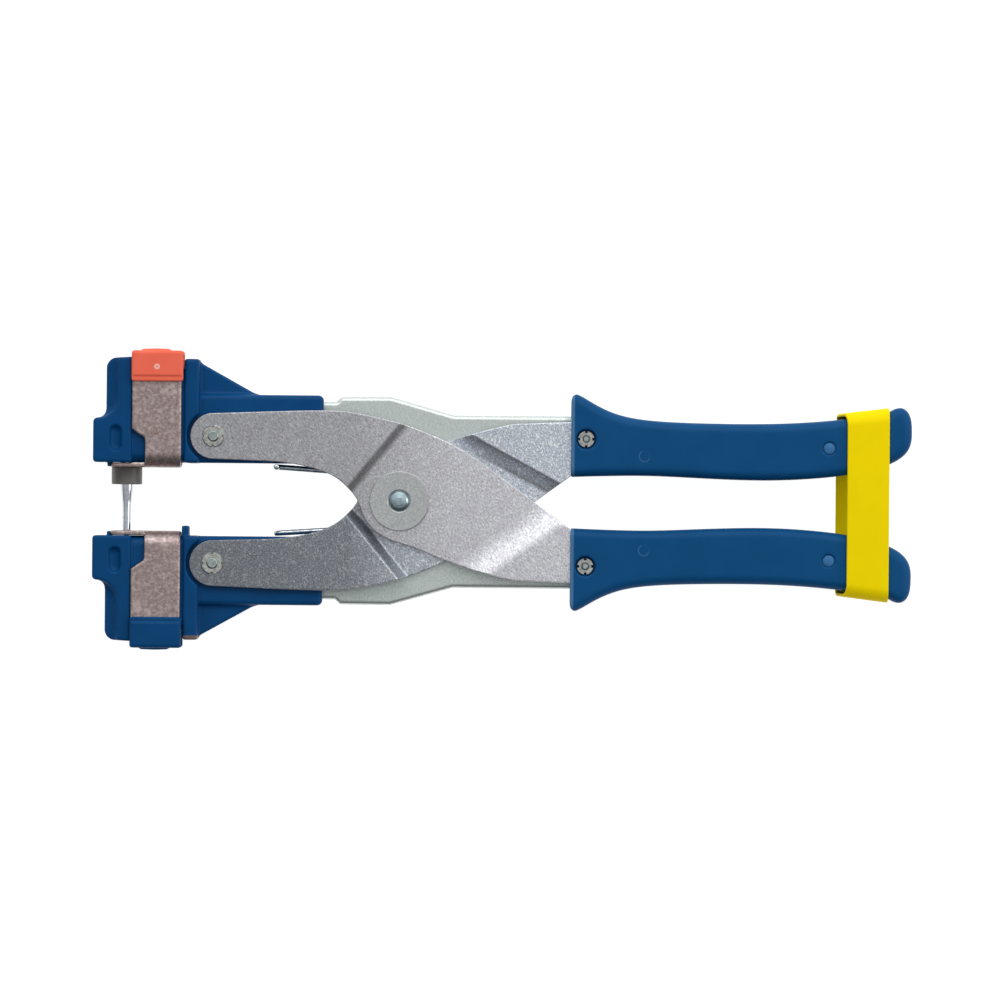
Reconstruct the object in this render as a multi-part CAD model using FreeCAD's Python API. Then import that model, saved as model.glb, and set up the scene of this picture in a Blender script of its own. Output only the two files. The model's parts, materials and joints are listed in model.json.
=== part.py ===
import FreeCAD, Part
import math
import os

from FreeCAD import Vector as V

# Ear tag applicator: a parallel-action plier for fixing two-piece ear tags.
# It lies flat: X runs along the tool (handles towards +X), Y runs across it
# (the jaw that carries the pin is on +Y) and Z is its thickness. Every piece
# is drawn about the middle plane z = 0 and then set down on z = 0 as a whole.
# All lengths are in millimetres.

# ---- driving dimensions -----------------------------------------------------
PIVOT_X = -32.8          # main pivot C, on the axis of the tool
ARM_DX = 60.7            # from C to each jaw pin or slide pin, along the tool
ARM_DY = 20.7            # and across it
SET_X = -0.65            # shift that centres the whole tool on x = 0
OPEN_SLIDE = 13.9        # how far a slide pin runs forward in its slot
CLOSE_SLIDE = 2.4        # and how far back

# layers, as half thicknesses from the middle plane
CHANNEL_Z = 4.5
CHANNEL_T = 1.5
INNER_Z = 4.7            # inner plate at the pivot, inside face
OUTER_Z = 6.9            # outer plate at the pivot, inside face
ENDS_Z = 8.8             # both kinds of plate at their ends, inside face
PLATE_T = 2.0
ARM_Z = 8.6              # head arm, beside the channel
HEAD_Z = 11.5            # head block
NECK_Z = 10.4            # head under the stirrup
LEDGE_Z = 8.7            # lowered edge of the head block
WEB_Z = 6.4              # gusset web of the head
STIRRUP_Z = 10.6         # stirrup leg, inside face
STIRRUP_T = 1.6
CAP_Z = 13.8             # button cap
GRIP_Z = 12.6            # grip
STRAP_Z = 13.8           # strap, outside

# jaws
FACE_Y = 11.9            # inner face of the head
CLAMP_Y = 10.3           # gripping face of the stirrup
CLAMP_T = 1.5
STIRRUP_BEND = 4.8       # outside radius of the stirrup's bend
CHANNEL_IN_Y = 13.3
CHANNEL_END_X = -101.2
ROOF_Y = 46.9            # inside of the cap's roof
NECK_TOP_Y = 42.6        # leaves the cap more than its travel
CAP_TOP_Y = 48.4
CAP_LOW_Y = 38.3
HEAD_GAP = (-120.7, -103.0)
STIRRUP_X = (-120.0, -103.8)
STIRRUP_FOOT_X = -126.8
STIRRUP_NOTCH_X = -115.7
PIN_X = -121.7           # applicator pin axis
PIN_R = 1.4              # and its radius where it carries the tag
CLAMP_TRAVEL = 3.5       # stroke of each button with its stirrup

# round parts
LEVER_END_R = 7.45
JAW_PIN_R = 3.0
JAW_BUSH_R = 4.0
RUN = 0.05               # running clearance
SLIDE_PIN_R = 2.9
SLOT_R = 2.98
RIVET_R = 4.0
RIVET_END_R = 2.95
BUSH_R = 7.0
WASHER_R = 9.7
WASHER_T = 0.8
SPRING_R = 8.1
SPRING_WIRE_R = 0.9
SPRING_PITCH = 1.95
DOWEL_R = 1.95
DOWEL = (107.0, 18.3)
GRIP_EDGE_R = 3.0

C = (PIVOT_X, 0.0)
P = (PIVOT_X - ARM_DX, ARM_DY)    # upper jaw pin
Q = (PIVOT_X + ARM_DX, ARM_DY)    # upper slide pin

# ---- outlines (upper half of the tool, x and y) ------------------------------
LEVER_TOP = [(-81.2, 28.6), (-67.9, 29.1), (-57.9, 29.3), (-51.5, 29.1),
             (-46.2, 28.4), (-38.4, 26.8), (-31.5, 25.0), (-24.4, 22.4),
             (-16.6, 19.0), (-10.1, 15.4), (-3.1, 10.6), (4.3, 5.1)]
LEVER_TOP_END = (23.4, -8.9)
LEVER_BOTTOM = [(-84.4, 12.95), (-74.4, 12.6), (-67.7, 11.9), (-61.7, 10.7),
                (-57.0, 9.2), (-52.4, 6.7), (-49.4, 4.0), (-47.2, 1.4),
                (-45.8, -1.2), (-44.8, -3.9), (-43.3, -6.8), (-41.1, -9.3),
                (-37.8, -11.6), (-33.4, -13.4), (-28.7, -14.8), (-22.5, -17.2),
                (-16.4, -19.6), (-9.5, -21.9), (-2.4, -23.9), (4.5, -25.4)]
LEVER_BOTTOM_END = (22.7, -26.2)
TANG_OUT = [(32.0, -25.9), (38.5, -24.9), (46.0, -23.7), (58.0, -22.8),
            (78.0, -22.3), (98.0, -22.7), (110.5, -23.5)]
TANG_IN = [(113.5, -13.2), (103.0, -11.7), (87.0, -10.8), (72.0, -10.9),
           (48.0, -11.4), (27.0, -11.3)]

GRIP_LOOP = [(27.0, 34.25), (31.5, 31.65), (38.8, 28.65), (46.8, 27.15), (57.8, 26.4),
             (71.5, 26.1), (91.1, 26.3), (101.0, 26.85), (111.1, 27.8),
             (118.5, 28.65), (123.5, 29.3), (126.2, 30.15), (128.3, 31.35),
             (130.6, 31.7), (132.6, 30.3), (133.65, 27.6), (133.9, 24.4),
             (133.75, 20.9),
             (132.8, 18.1), (130.6, 15.6), (126.6, 13.3), (119.5, 11.1),
             (111.9, 9.6), (103.0, 8.55), (86.7, 7.75), (73.4, 7.95),
             (60.0, 8.5), (47.8, 8.9), (35.0, 8.75), (27.0, 8.5), (20.0, 8.3),
             (13.0, 9.4), (8.2, 14.0), (6.5, 22.0), (7.2, 31.0), (10.5, 36.2),
             (16.0, 38.0), (22.0, 36.8)]
GRIP_MOUTH_X = 23.0


# ---- small helpers ------------------------------------------------------------
def v(p, z=0.0):
    return V(p[0], p[1], z)


def seg(a, b):
    return Part.LineSegment(v(a), v(b)).toShape()


def spline(points, start=None, end=None):
    curve = Part.BSplineCurve()
    given = {"Points": [v(p) for p in points]}
    if start and end:
        given["InitialTangent"] = v(start)
        given["FinalTangent"] = v(end)
    curve.interpolate(**given)
    return curve.toShape()


def arc(a, m, b):
    return Part.Arc(v(a), v(m), v(b)).toShape()


def lift(edges, z0, z1):
    face = Part.Face(Part.Wire(edges))
    face.translate(V(0, 0, z0))
    return face.extrude(V(0, 0, z1 - z0))


def rounded(points, radii):
    """Edges of a closed polygon whose corners have the given radii."""
    n = len(points)
    if not isinstance(radii, (list, tuple)):
        radii = [radii] * n
    cuts = []
    for i in range(n):
        a, b, c = (V(*points[(i + k) % n], 0) for k in (-1, 0, 1))
        r = radii[i]
        u, w = a.sub(b), c.sub(b)
        u.normalize()
        w.normalize()
        half = u.getAngle(w) / 2
        if r <= 0 or abs(half - math.pi / 2) < 1e-6:
            cuts.append((b, None, b))
            continue
        d = r / math.tan(half)
        mid = u.add(w)
        mid.normalize()
        centre = b.add(mid.multiply(r / math.sin(half)))
        s, e = b.add(V(u).multiply(d)), b.add(V(w).multiply(d))
        m = b.sub(centre)
        m.normalize()
        cuts.append((s, centre.add(m.multiply(r)), e))
    edges = []
    for i in range(n):
        s, m, e = cuts[i]
        if m is not None:
            edges.append(Part.Arc(s, m, e).toShape())
        nxt = cuts[(i + 1) % n][0]
        if e.distanceToPoint(nxt) > 1e-6:
            edges.append(Part.LineSegment(e, nxt).toShape())
    return edges


def plate(points, z0, z1, radii=0.0):
    return lift(rounded(points, radii), z0, z1)


def block(x0, x1, y0, y1, z0, z1):
    return Part.makeBox(x1 - x0, y1 - y0, z1 - z0, V(x0, y0, z0))


def rod(p, r, z0, z1):
    return Part.makeCylinder(r, z1 - z0, v(p, z0))


def rod_y(x, r, y0, y1, z=0.0):
    return Part.makeCylinder(r, y1 - y0, V(x, y0, z), V(0, 1, 0))


def cone(p, r0, r1, z0, z1):
    return Part.makeCone(r0, r1, z1 - z0, v(p, z0))


def turned_y(x, profile, z=0.0):
    """A body turned about a line along Y; profile is (radius, y) points."""
    pts = [V(x + r, y, z) for r, y in profile]
    face = Part.Face(Part.makePolygon(pts + [pts[0]]))
    return face.revolve(V(x, 0, z), V(0, 1, 0), 360)


def turned_z(p, profile):
    """A body turned about a line along Z; profile is (radius, z) points."""
    pts = [V(p[0] + r, p[1], z) for r, z in profile]
    face = Part.Face(Part.makePolygon(pts + [pts[0]]))
    return face.revolve(v(p), V(0, 0, 1), 360)


def section_x(points, radii, x0, x1):
    """A section in the Y-Z plane, drawn as (y, z), pulled along X."""
    edges = rounded(points, radii)
    face = Part.Face(Part.Wire(edges))
    turn = FreeCAD.Matrix(0, 0, 1, 0, 1, 0, 0, 0, 0, 1, 0, 0, 0, 0, 0, 1)
    face = face.transformed(turn)
    face.translate(V(x0, 0, 0))
    return face.extrude(V(x1 - x0, 0, 0))


def mirrored(shape):
    return shape.mirror(V(0, 0, 0), V(0, 1, 0))


def turned_over(shape):
    new = shape.copy()
    new.rotate(V(0, 0, 0), V(1, 0, 0), 180)
    return new


def join(first, *others):
    out = first
    for other in others:
        out = out.fuse(other)
    out = out.removeSplitter()
    return out.Solids[0] if len(out.Solids) == 1 else Part.makeCompound(out.Solids)


def less(shape, *tools):
    out = shape
    for tool in tools:
        out = out.cut(tool)
    return out.Solids[0] if len(out.Solids) == 1 else Part.makeCompound(out.Solids)


def softened(shape, radius, pick):
    """Fillet the picked edges, with smaller radii if the kernel refuses."""
    edges = [e for e in shape.Edges if pick(e)]
    for r in (radius, radius * 0.8, radius * 0.6, radius * 0.4):
        try:
            out = shape.makeFillet(r, edges)
            if out.isValid() and out.Volume > 0:
                return out.Solids[0] if len(out.Solids) == 1 else out
        except Exception:
            continue
    print("left sharp", len(edges))
    return shape


# ---- lever plates ---------------------------------------------------------------
def stepped_sheet(normal, low, high, z_low, z_high, side):
    """A sheet that steps from z_low to z_high between two parallel bend lines."""
    nx, ny = normal
    length = math.hypot(nx, ny)
    nx, ny = nx / length, ny / length
    rise = z_high - z_low
    shift = PLATE_T * math.tan(math.atan2(rise, high - low) / 2)
    pts = [(-160, z_low), (low + shift, z_low), (high + shift, z_high), (260, z_high),
           (260, z_high + PLATE_T), (high, z_high + PLATE_T), (low, z_low + PLATE_T),
           (-160, z_low + PLATE_T)]
    along = V(-ny, nx, 0)
    edge_pts = [V(n * nx, n * ny, z).sub(V(along).multiply(150)) for n, z in pts]
    face = Part.Face(Part.makePolygon(edge_pts + [edge_pts[0]]))
    sheet = face.extrude(V(along).multiply(300))
    half = block(-200, PIVOT_X, -80, 80, 0, 20) if side < 0 else block(PIVOT_X, 200, -80, 80, 0, 20)
    return sheet.common(half)


def lever_outline():
    top0 = (P[0], P[1] + LEVER_END_R)
    bottom0 = (P[0], P[1] - LEVER_END_R)
    edges = [spline([top0] + LEVER_TOP, (1, 0.03), (0.8, -0.6)),
             seg(LEVER_TOP[-1], LEVER_TOP_END),
             seg(LEVER_TOP_END, TANG_IN[-1]),
             spline(TANG_IN[::-1], (1, 0), (1, -0.25)),
             arc(TANG_IN[0], (115.6, -18.4), TANG_OUT[-1]),
             spline(TANG_OUT[::-1], (-1, 0.1), (-1, -0.05)),
             seg(TANG_OUT[0], LEVER_BOTTOM_END),
             seg(LEVER_BOTTOM_END, LEVER_BOTTOM[-1]),
             spline(LEVER_BOTTOM[::-1] + [bottom0], (-1, 0.2), (-1, 0.02)),
             arc(bottom0, (P[0] - LEVER_END_R, P[1]), top0)]
    return edges


LEVER = lift(lever_outline(), 0, 16)
OTHER_Q = (Q[0], -Q[1])
OTHER_DOWEL = (DOWEL[0], -DOWEL[1])


def lever_plate(inner, pivot_r):
    if inner:
        jaw = stepped_sheet((-0.772, 0.635), 38.9, 41.6, INNER_Z, ENDS_Z, -1)
        grip = stepped_sheet((0.475, -0.880), 10.85, 14.55, INNER_Z, ENDS_Z, 1)
    else:
        jaw = stepped_sheet((-0.774, 0.633), 39.25, 41.4, OUTER_Z, ENDS_Z, -1)
        grip = stepped_sheet((0.579, -0.815), 10.3, 17.2, OUTER_Z, ENDS_Z, 1)
    sheet = join(LEVER.common(jaw), LEVER.common(grip))
    return less(sheet, rod(P, JAW_PIN_R, 0, 20), rod(C, pivot_r, 0, 20),
                rod(OTHER_Q, SLIDE_PIN_R, 0, 20), rod(OTHER_DOWEL, DOWEL_R, 0, 20))


lower_handle_front_plate = lever_plate(False, RIVET_R)
lower_handle_rear_plate = turned_over(mirrored(lever_plate(True, RIVET_R)))
upper_handle_front_plate = mirrored(lever_plate(True, RIVET_R + RUN))
upper_handle_rear_plate = turned_over(lever_plate(False, RIVET_R + RUN))


# ---- grips ------------------------------------------------------------------------
def grip(plates):
    """The upper grip; plates are the two lever plates it is pushed over."""
    curve = Part.BSplineCurve()
    curve.interpolate(Points=[v(p) for p in GRIP_LOOP], PeriodicFlag=True)
    body = lift([curve.toShape()], -GRIP_Z, GRIP_Z)

    def rim(e):
        b = e.BoundBox
        return b.ZLength < 0.01 and b.XLength > 50
    body = softened(body, GRIP_EDGE_R, rim)
    # the mouth is cut square, and the corner of its flare is rounded off
    body = body.cut(block(-10, GRIP_MOUTH_X, -5, 60, -20, 20))
    corner = lift([seg((GRIP_MOUTH_X, 33.4), (GRIP_MOUTH_X - 2, 40.0)),
                   seg((GRIP_MOUTH_X - 2, 40.0), (27.4, 40.0)), seg((27.4, 40.0), (26.2, 34.75)),
                   arc((26.2, 34.75), (24.0, 35.1), (GRIP_MOUTH_X, 33.4))], -20, 20)
    body = body.cut(corner)
    body = body.Solids[0]
    cavity = plate([(20.0, 10.5), (51.8, 10.5), (51.8, 23.6), (40.0, 25.6),
                    (27.5, 30.6), (20.0, 30.6)], -CHANNEL_Z - 0.4, CHANNEL_Z + 0.4,
                   [0, 3.0, 3.0, 3.0, 2.0, 0])
    slots = [p.common(block(20, 130, -60, 60, -20, 20)) for p in plates]
    out = less(body, cavity, *slots)
    out = less(out, rod(Q, 3.25, 10.7, 20), rod(Q, 3.25, -20, -10.7),
               rod(Q, SLIDE_PIN_R, -12, 12), rod(DOWEL, DOWEL_R, -20, 20))
    return out


upper_grip = grip([upper_handle_front_plate, upper_handle_rear_plate])
lower_grip = mirrored(grip([mirrored(lower_handle_front_plate), mirrored(lower_handle_rear_plate)]))
upper_grip_pin = rod(DOWEL, DOWEL_R, -GRIP_Z, GRIP_Z)
lower_grip_pin = mirrored(upper_grip_pin)


# ---- pins -------------------------------------------------------------------------
def pin(p, r, end_r, half, tip):
    body = rod(p, r, -half, half)
    for s in (1, -1):
        stub = join(rod(p, end_r, half, half + tip - 0.4),
                    cone(p, end_r, end_r - 0.5, half + tip - 0.4, half + tip))
        body = body.fuse(stub if s > 0 else mirrored(turned_over(stub)))
    return body.removeSplitter().Solids[0]


def retainer(p, r, hole, z, t, notch_w, notch_d):
    ring = rod(p, r, z, z + t - 0.25).fuse(cone(p, r, r - 0.25, z + t - 0.25, z + t)).removeSplitter()
    ring = ring.cut(rod(p, hole, z - 1, z + t + 1))
    for k in range(4):
        tool = block(r - notch_d, r + 1, -notch_w / 2, notch_w / 2, z - 1, z + t + 1)
        tool.rotate(V(0, 0, 0), V(0, 0, 1), 90 * k)
        tool.translate(V(p[0], p[1], 0))
        ring = ring.cut(tool)
    return ring.Solids[0]


def retainers(p, r, hole, z, t, notch_w, notch_d):
    front = retainer(p, r, hole, z, t, notch_w, notch_d)
    return Part.makeCompound([front, mirrored(turned_over(front))])


LEVEL = ENDS_Z + PLATE_T
upper_jaw_pin = pin(P, JAW_PIN_R, 1.9, LEVEL, 1.1)
lower_jaw_pin = mirrored(upper_jaw_pin)
upper_slide_pin = pin(Q, SLIDE_PIN_R, 1.3, LEVEL, 1.0)
lower_slide_pin = mirrored(upper_slide_pin)
upper_jaw_pin_retainers = retainers(P, 3.6, 1.9, LEVEL, 0.8, 0.8, 0.7)
lower_jaw_pin_retainers = mirrored(upper_jaw_pin_retainers)
upper_slide_pin_retainers = retainers(Q, 2.85, 1.3, LEVEL, 0.8, 0.9, 0.9)
lower_slide_pin_retainers = mirrored(upper_slide_pin_retainers)

# ---- main pivot -------------------------------------------------------------------
STACK = OUTER_Z + PLATE_T
GAP = 0.1
rivet = turned_z(C, [(0, -STACK - WASHER_T - 1.0), (1.6, -STACK - WASHER_T - 0.8),
                     (RIVET_END_R, -STACK - WASHER_T - 0.1),
                     (RIVET_END_R, -STACK - GAP), (RIVET_R, -STACK - GAP),
                     (RIVET_R, STACK), (RIVET_END_R, STACK),
                     (RIVET_END_R, STACK + WASHER_T - 0.1),
                     (2.3, STACK + WASHER_T + 0.35), (1.2, STACK + WASHER_T + 0.6),
                     (0, STACK + WASHER_T + 0.65)])
pivot_rivet = rivet


def washer(z):
    return turned_z(C, [(RIVET_END_R, z), (WASHER_R, z), (WASHER_R, z + WASHER_T - 0.25),
                        (WASHER_R - 0.25, z + WASHER_T), (RIVET_END_R + 0.9, z + WASHER_T),
                        (RIVET_END_R, z + WASHER_T - 0.7)])


front_pivot_washer = washer(STACK)
rear_pivot_washer = mirrored(turned_over(washer(STACK + GAP)))
pivot_spacer_bush = turned_z(C, [(RIVET_R, -INNER_Z + GAP), (BUSH_R, -INNER_Z + GAP),
                                 (BUSH_R, INNER_Z - GAP), (RIVET_R, INNER_Z - GAP)])


# ---- return spring ------------------------------------------------------------------
def wire_ring(r, wire, z):
    return Part.makeTorus(r, wire, v(C, z))


def spring_leg(s):
    """One leg: tangent to the coil, out to the jaw arm, then bent along Z."""
    tilt = math.radians(3.8)
    n = V(math.sin(tilt), math.cos(tilt), 0)
    d = V(-math.cos(tilt), math.sin(tilt), 0)
    z = 1.5 * SPRING_PITCH
    start = V(C[0], C[1], z).add(V(n).multiply(SPRING_R))
    length, bend = 38.9, 1.8
    a = start
    b = start.add(V(d).multiply(length))
    centre = b.add(V(0, 0, bend))
    m = centre.add(V(d).multiply(bend * math.sin(math.pi / 4))).sub(V(0, 0, bend * math.cos(math.pi / 4)))
    c = centre.add(V(d).multiply(bend))
    e = V(c.x, c.y, 9.9)
    path = Part.Wire([Part.LineSegment(a, b).toShape(), Part.Arc(b, m, c).toShape(),
                      Part.LineSegment(c, e).toShape()])
    ring = Part.Wire([Part.Circle(a, d, SPRING_WIRE_R).toShape()])
    leg = path.makePipeShell([ring], True, True)
    leg = Part.Solid(leg) if leg.ShapeType != "Solid" else leg
    return leg if s > 0 else turned_over(leg)


coil = None
for k in range(4):
    ring = wire_ring(SPRING_R, SPRING_WIRE_R + 0.09, (k - 1.5) * SPRING_PITCH)
    coil = ring if coil is None else coil.fuse(ring)
return_spring = join(coil, spring_leg(1), spring_leg(-1))


# ---- jaw channels -------------------------------------------------------------------
def channel():
    x_end = Q[0] + CLOSE_SLIDE + SLIDE_PIN_R + 3.6
    tail_r = 5.2
    tail_x = x_end - tail_r
    top = P[1] + 7.4
    low = CHANNEL_IN_Y
    edges = rounded([(CHANNEL_END_X, low), (24.0, low), (tail_x + 0.6, P[1] - tail_r),
                     (tail_x + 0.6, P[1] + tail_r), (24.0, top), (-15.2, top),
                     (-35.6, 33.9), (-51.9, 33.8), (-53.5, 32.2), (CHANNEL_END_X, 32.2)],
                    [0, 4.0, 0, 0, 4.0, 2.0, 2.0, 1.0, 1.0, 0])
    full = lift(edges, -CHANNEL_Z, CHANNEL_Z).fuse(
        rod((tail_x, P[1]), tail_r, -CHANNEL_Z, CHANNEL_Z))
    full = full.fuse(plate([(24, P[1] - 5.5), (tail_x, P[1] - tail_r), (tail_x, P[1] + tail_r),
                            (24, P[1] + 5.5)], -CHANNEL_Z, CHANNEL_Z)).removeSplitter()
    full = full.cut(block(tail_x, tail_x + 3, P[1] - 9, P[1] + 9, -9, 9).cut(
        rod((tail_x, P[1]), tail_r, -9, 9)))
    full = full.Solids[0]

    def web_edge(e):
        b = e.BoundBox
        return (abs(abs(b.ZMin) - CHANNEL_Z) < 0.01 and b.ZLength < 0.01
                and b.YMin > 27.5 and b.XMin < 23.0)
    full = softened(full, 1.4, web_edge)
    t = CHANNEL_T
    void = plate([(-110, 0), (60, 0), (60, 50), (21.5, 50), (21.5, top - t),
                  (-15.5, top - t), (-35.9, 33.9 - t), (-51.2, 33.8 - t), (-52.9, 32.2 - t),
                  (-110, 32.2 - t)], -CHANNEL_Z + t, CHANNEL_Z - t)
    slot = plate([(Q[0] - OPEN_SLIDE - SLOT_R, Q[1] - SLOT_R), (Q[0] + CLOSE_SLIDE + SLOT_R, Q[1] - SLOT_R),
                  (Q[0] + CLOSE_SLIDE + SLOT_R, Q[1] + SLOT_R), (Q[0] - OPEN_SLIDE - SLOT_R, Q[1] + SLOT_R)],
                 -10, 10, SLOT_R - 0.001)
    return less(full, void, slot, rod(P, JAW_BUSH_R, -10, 10))


upper_jaw_channel = channel()
lower_jaw_channel = mirrored(upper_jaw_channel)
upper_jaw_bush = rod(P, JAW_BUSH_R, -ARM_Z, ARM_Z).cut(rod(P, JAW_PIN_R + RUN, -20, 20)).Solids[0]
lower_jaw_bush = mirrored(upper_jaw_bush)


# ---- heads --------------------------------------------------------------------------
def head(lower):
    x0, x1 = HEAD_GAP
    # the nose block: full plan at the ledge height, smaller plan at full height
    plan = [seg((x0, FACE_Y), (-131.9, FACE_Y)), arc((-131.9, FACE_Y), (-132.4, FACE_Y + 0.2), (-132.6, FACE_Y + 0.7)),
            seg((-132.6, FACE_Y + 0.7), (-132.6, 25.0)),
            arc((-132.6, 25.0), (-132.2, 26.0), (-131.2, 26.4)),
            spline([(-131.2, 26.4), (-129.6, 26.9), (-128.7, 28.0), (-128.4, 29.8)], (1, 0.05), (0, 1)),
            seg((-128.4, 29.8), (-128.4, 43.6)),
            arc((-128.4, 43.6), (-127.7, 45.3), (-126.0, 46.1)),
            seg((-126.0, 46.1), (x0, 46.35)), seg((x0, 46.35), (x0, FACE_Y))]
    nose = lift(plan, -LEDGE_Z, LEDGE_Z)
    raised = [seg((x0, FACE_Y), (-131.9, FACE_Y)), arc((-131.9, FACE_Y), (-132.4, FACE_Y + 0.2), (-132.6, FACE_Y + 0.7)),
              seg((-132.6, FACE_Y + 0.7), (-132.6, 25.0)),
              arc((-132.6, 25.0), (-132.2, 26.0), (-131.2, 26.4)),
              spline([(-131.2, 26.4), (-128.0, 27.2), (-125.6, 29.4), (-124.4, 33.4)], (1, 0.02), (0, 1)),
              seg((-124.4, 33.4), (-124.4, 46.2)),
              seg((-124.4, 46.2), (x0, 46.35)), seg((x0, 46.35), (x0, FACE_Y))]
    nose = nose.fuse(lift(raised, -HEAD_Z, HEAD_Z))
    pill = plate([(-127.4, 15.6), (-123.2, 15.6), (-123.2, 24.0), (-127.4, 24.0)], 0, 4, 2.05)
    for s in (1, -1):
        tool = pill.copy()
        tool.translate(V(0, 0, HEAD_Z - 1.8))
        nose = nose.cut(tool if s > 0 else mirrored(turned_over(tool)))
    # neck between nose and shoulder, which the stirrup runs round
    neck = section_x([(FACE_Y, -NECK_Z), (NECK_TOP_Y, -NECK_Z), (NECK_TOP_Y, NECK_Z), (FACE_Y, NECK_Z)],
                     [3.5, 1.0, 1.0, 3.5], x0, x1)
    # shoulder behind the stirrup
    shoulder = plate([(x1, FACE_Y), (-98.1, FACE_Y), (-98.1, 45.0), (-99.0, 45.6), (x1, 45.7)],
                     -HEAD_Z, HEAD_Z, [0, 0, 0.6, 0.6, 0])
    arm = plate([(x1, FACE_Y), (-57.7, FACE_Y), (-57.7, 34.2), (x1, 34.2)], -ARM_Z, ARM_Z,
                [0, 1.2, 1.6, 0])
    gusset = plate([(x1, 30.0), (-79.3, 30.0), (-79.3, 34.2), (-98.7, 45.2), (x1, 45.2)], -WEB_Z, WEB_Z)
    body = nose.fuse(neck).fuse(shoulder).fuse(arm).fuse(gusset)
    # guide tab beside the foot of the stirrup
    body = body.fuse(block(-127.8, -126.95, CLAMP_Y + 0.2, FACE_Y + 0.5, -9.5, 9.5))
    if lower:
        body = body.fuse(plate([(-103.2, 8.6), (-101.0, 8.6), (-101.0, 13.0), (-103.2, 13.0)], -9.0, 9.0, [0.5, 0.5, 0, 0]))
    body = body.removeSplitter()
    # pocket for the end of each lever plate, cavity for the channel
    pocket = rod(P, 8.6, ARM_Z, 20)
    body = body.cut(pocket).cut(mirrored(turned_over(pocket)))
    body = body.cut(block(-101.2, -50, CHANNEL_IN_Y, 32.2, -CHANNEL_Z, CHANNEL_Z))
    body = body.cut(rod(P, JAW_BUSH_R, -20, 20))
    # blind hole for the clamp spring, open under the cap
    body = body.cut(rod_y(SPRING_X, 3.1, SPRING_Y0, NECK_TOP_Y + 1))
    # seat of the applicator pin, or of the anvil
    if lower:
        body = body.cut(rod_y(PIN_X, 4.0, FACE_Y - 1, 25.0)).cut(rod_y(PIN_X, 2.2, 20, 27.0))
    else:
        body = body.cut(rod_y(PIN_X, 3.0, FACE_Y - 1, 26.0))
    return body.removeSplitter().Solids[0]


SPRING_X = -111.9
SPRING_Y0 = 28.0
upper_head = head(False)
lower_head = mirrored(head(True))


def clamp_spring():
    """Compression spring between head and cap, drawn as stacked rings on a core line."""
    n = 9
    y0, y1 = SPRING_Y0, ROOF_Y
    wire = 0.45
    pitch = (y1 - y0 - 2 * wire) / (n - 1)
    pts = []
    rings = []
    for k in range(n):
        rings.append(Part.makeTorus(2.35, wire, V(SPRING_X, y0 + wire + k * pitch, 0), V(0, 1, 0)))
    core = rod_y(SPRING_X, 2.45, y0 + wire, y1 - wire).cut(rod_y(SPRING_X, 2.25, y0 - 1, y1 + 1))
    out = core
    for ring in rings:
        out = out.fuse(ring)
    return out.removeSplitter().Solids[0]


upper_clamp_spring = clamp_spring()
lower_clamp_spring = mirrored(upper_clamp_spring)

# ---- applicator pin and anvil ---------------------------------------------------------
applicator_pin = turned_y(PIN_X, [(0, 26.0), (3.0, 26.0), (3.0, FACE_Y), (2.125, FACE_Y), (2.125, 4.6),
                                  (1.86, 2.4), (1.58, -0.2), (PIN_R, -2.6),
                                  (PIN_R, -10.2), (0.95, -11.6), (0.35, -12.5), (0, -12.6)])
anvil_insert = turned_y(PIN_X, [(2.2, -25.0), (4.0, -25.0), (4.0, -12.5), (3.4, -FACE_Y),
                                (2.7, -FACE_Y), (2.2, -12.5)])


# ---- stirrups, collar and caps ----------------------------------------------------------
def stirrup(hole_r):
    zo = STIRRUP_Z + STIRRUP_T
    x0, x1 = STIRRUP_X
    top = ROOF_Y
    outer = section_x([(CLAMP_Y, -zo), (top, -zo), (top, zo), (CLAMP_Y, zo)],
                      [STIRRUP_BEND, 0, 0, STIRRUP_BEND], x0, x1)
    inner = section_x([(CLAMP_Y + CLAMP_T, -STIRRUP_Z), (top + 5, -STIRRUP_Z),
                       (top + 5, STIRRUP_Z), (CLAMP_Y + CLAMP_T, STIRRUP_Z)],
                      [STIRRUP_BEND - CLAMP_T, 0, 0, STIRRUP_BEND - CLAMP_T], x0 - 1, x1 + 1)
    strap = outer.cut(inner)
    notch = plate([(x0 - 2, 8.0), (STIRRUP_NOTCH_X, 8.0), (STIRRUP_NOTCH_X, 19.8), (x0, 22.7), (x0 - 2, 22.7)],
                  -20, 20, [0, 0, 0.8, 0, 0])
    strap = strap.cut(notch)
    foot = plate([(STIRRUP_FOOT_X, -10.2), (STIRRUP_NOTCH_X + 0.4, -10.2),
                  (STIRRUP_NOTCH_X + 0.4, 10.2), (STIRRUP_FOOT_X, 10.2)], 0, CLAMP_T, [1.5, 0, 0, 1.5])
    foot = foot.transformed(FreeCAD.Matrix(1, 0, 0, 0, 0, 0, 1, 0, 0, -1, 0, 0, 0, 0, 0, 1))
    foot.translate(V(0, CLAMP_Y, 0))
    foot = foot.cut(block(STIRRUP_NOTCH_X, x1, 0, 50, 7.2, 20)).cut(block(STIRRUP_NOTCH_X, x1, 0, 50, -20, -7.2))
    out = strap.fuse(foot).removeSplitter()
    out = out.cut(rod_y(PIN_X, hole_r, 5, 15))
    return out.Solids[0]


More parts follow.
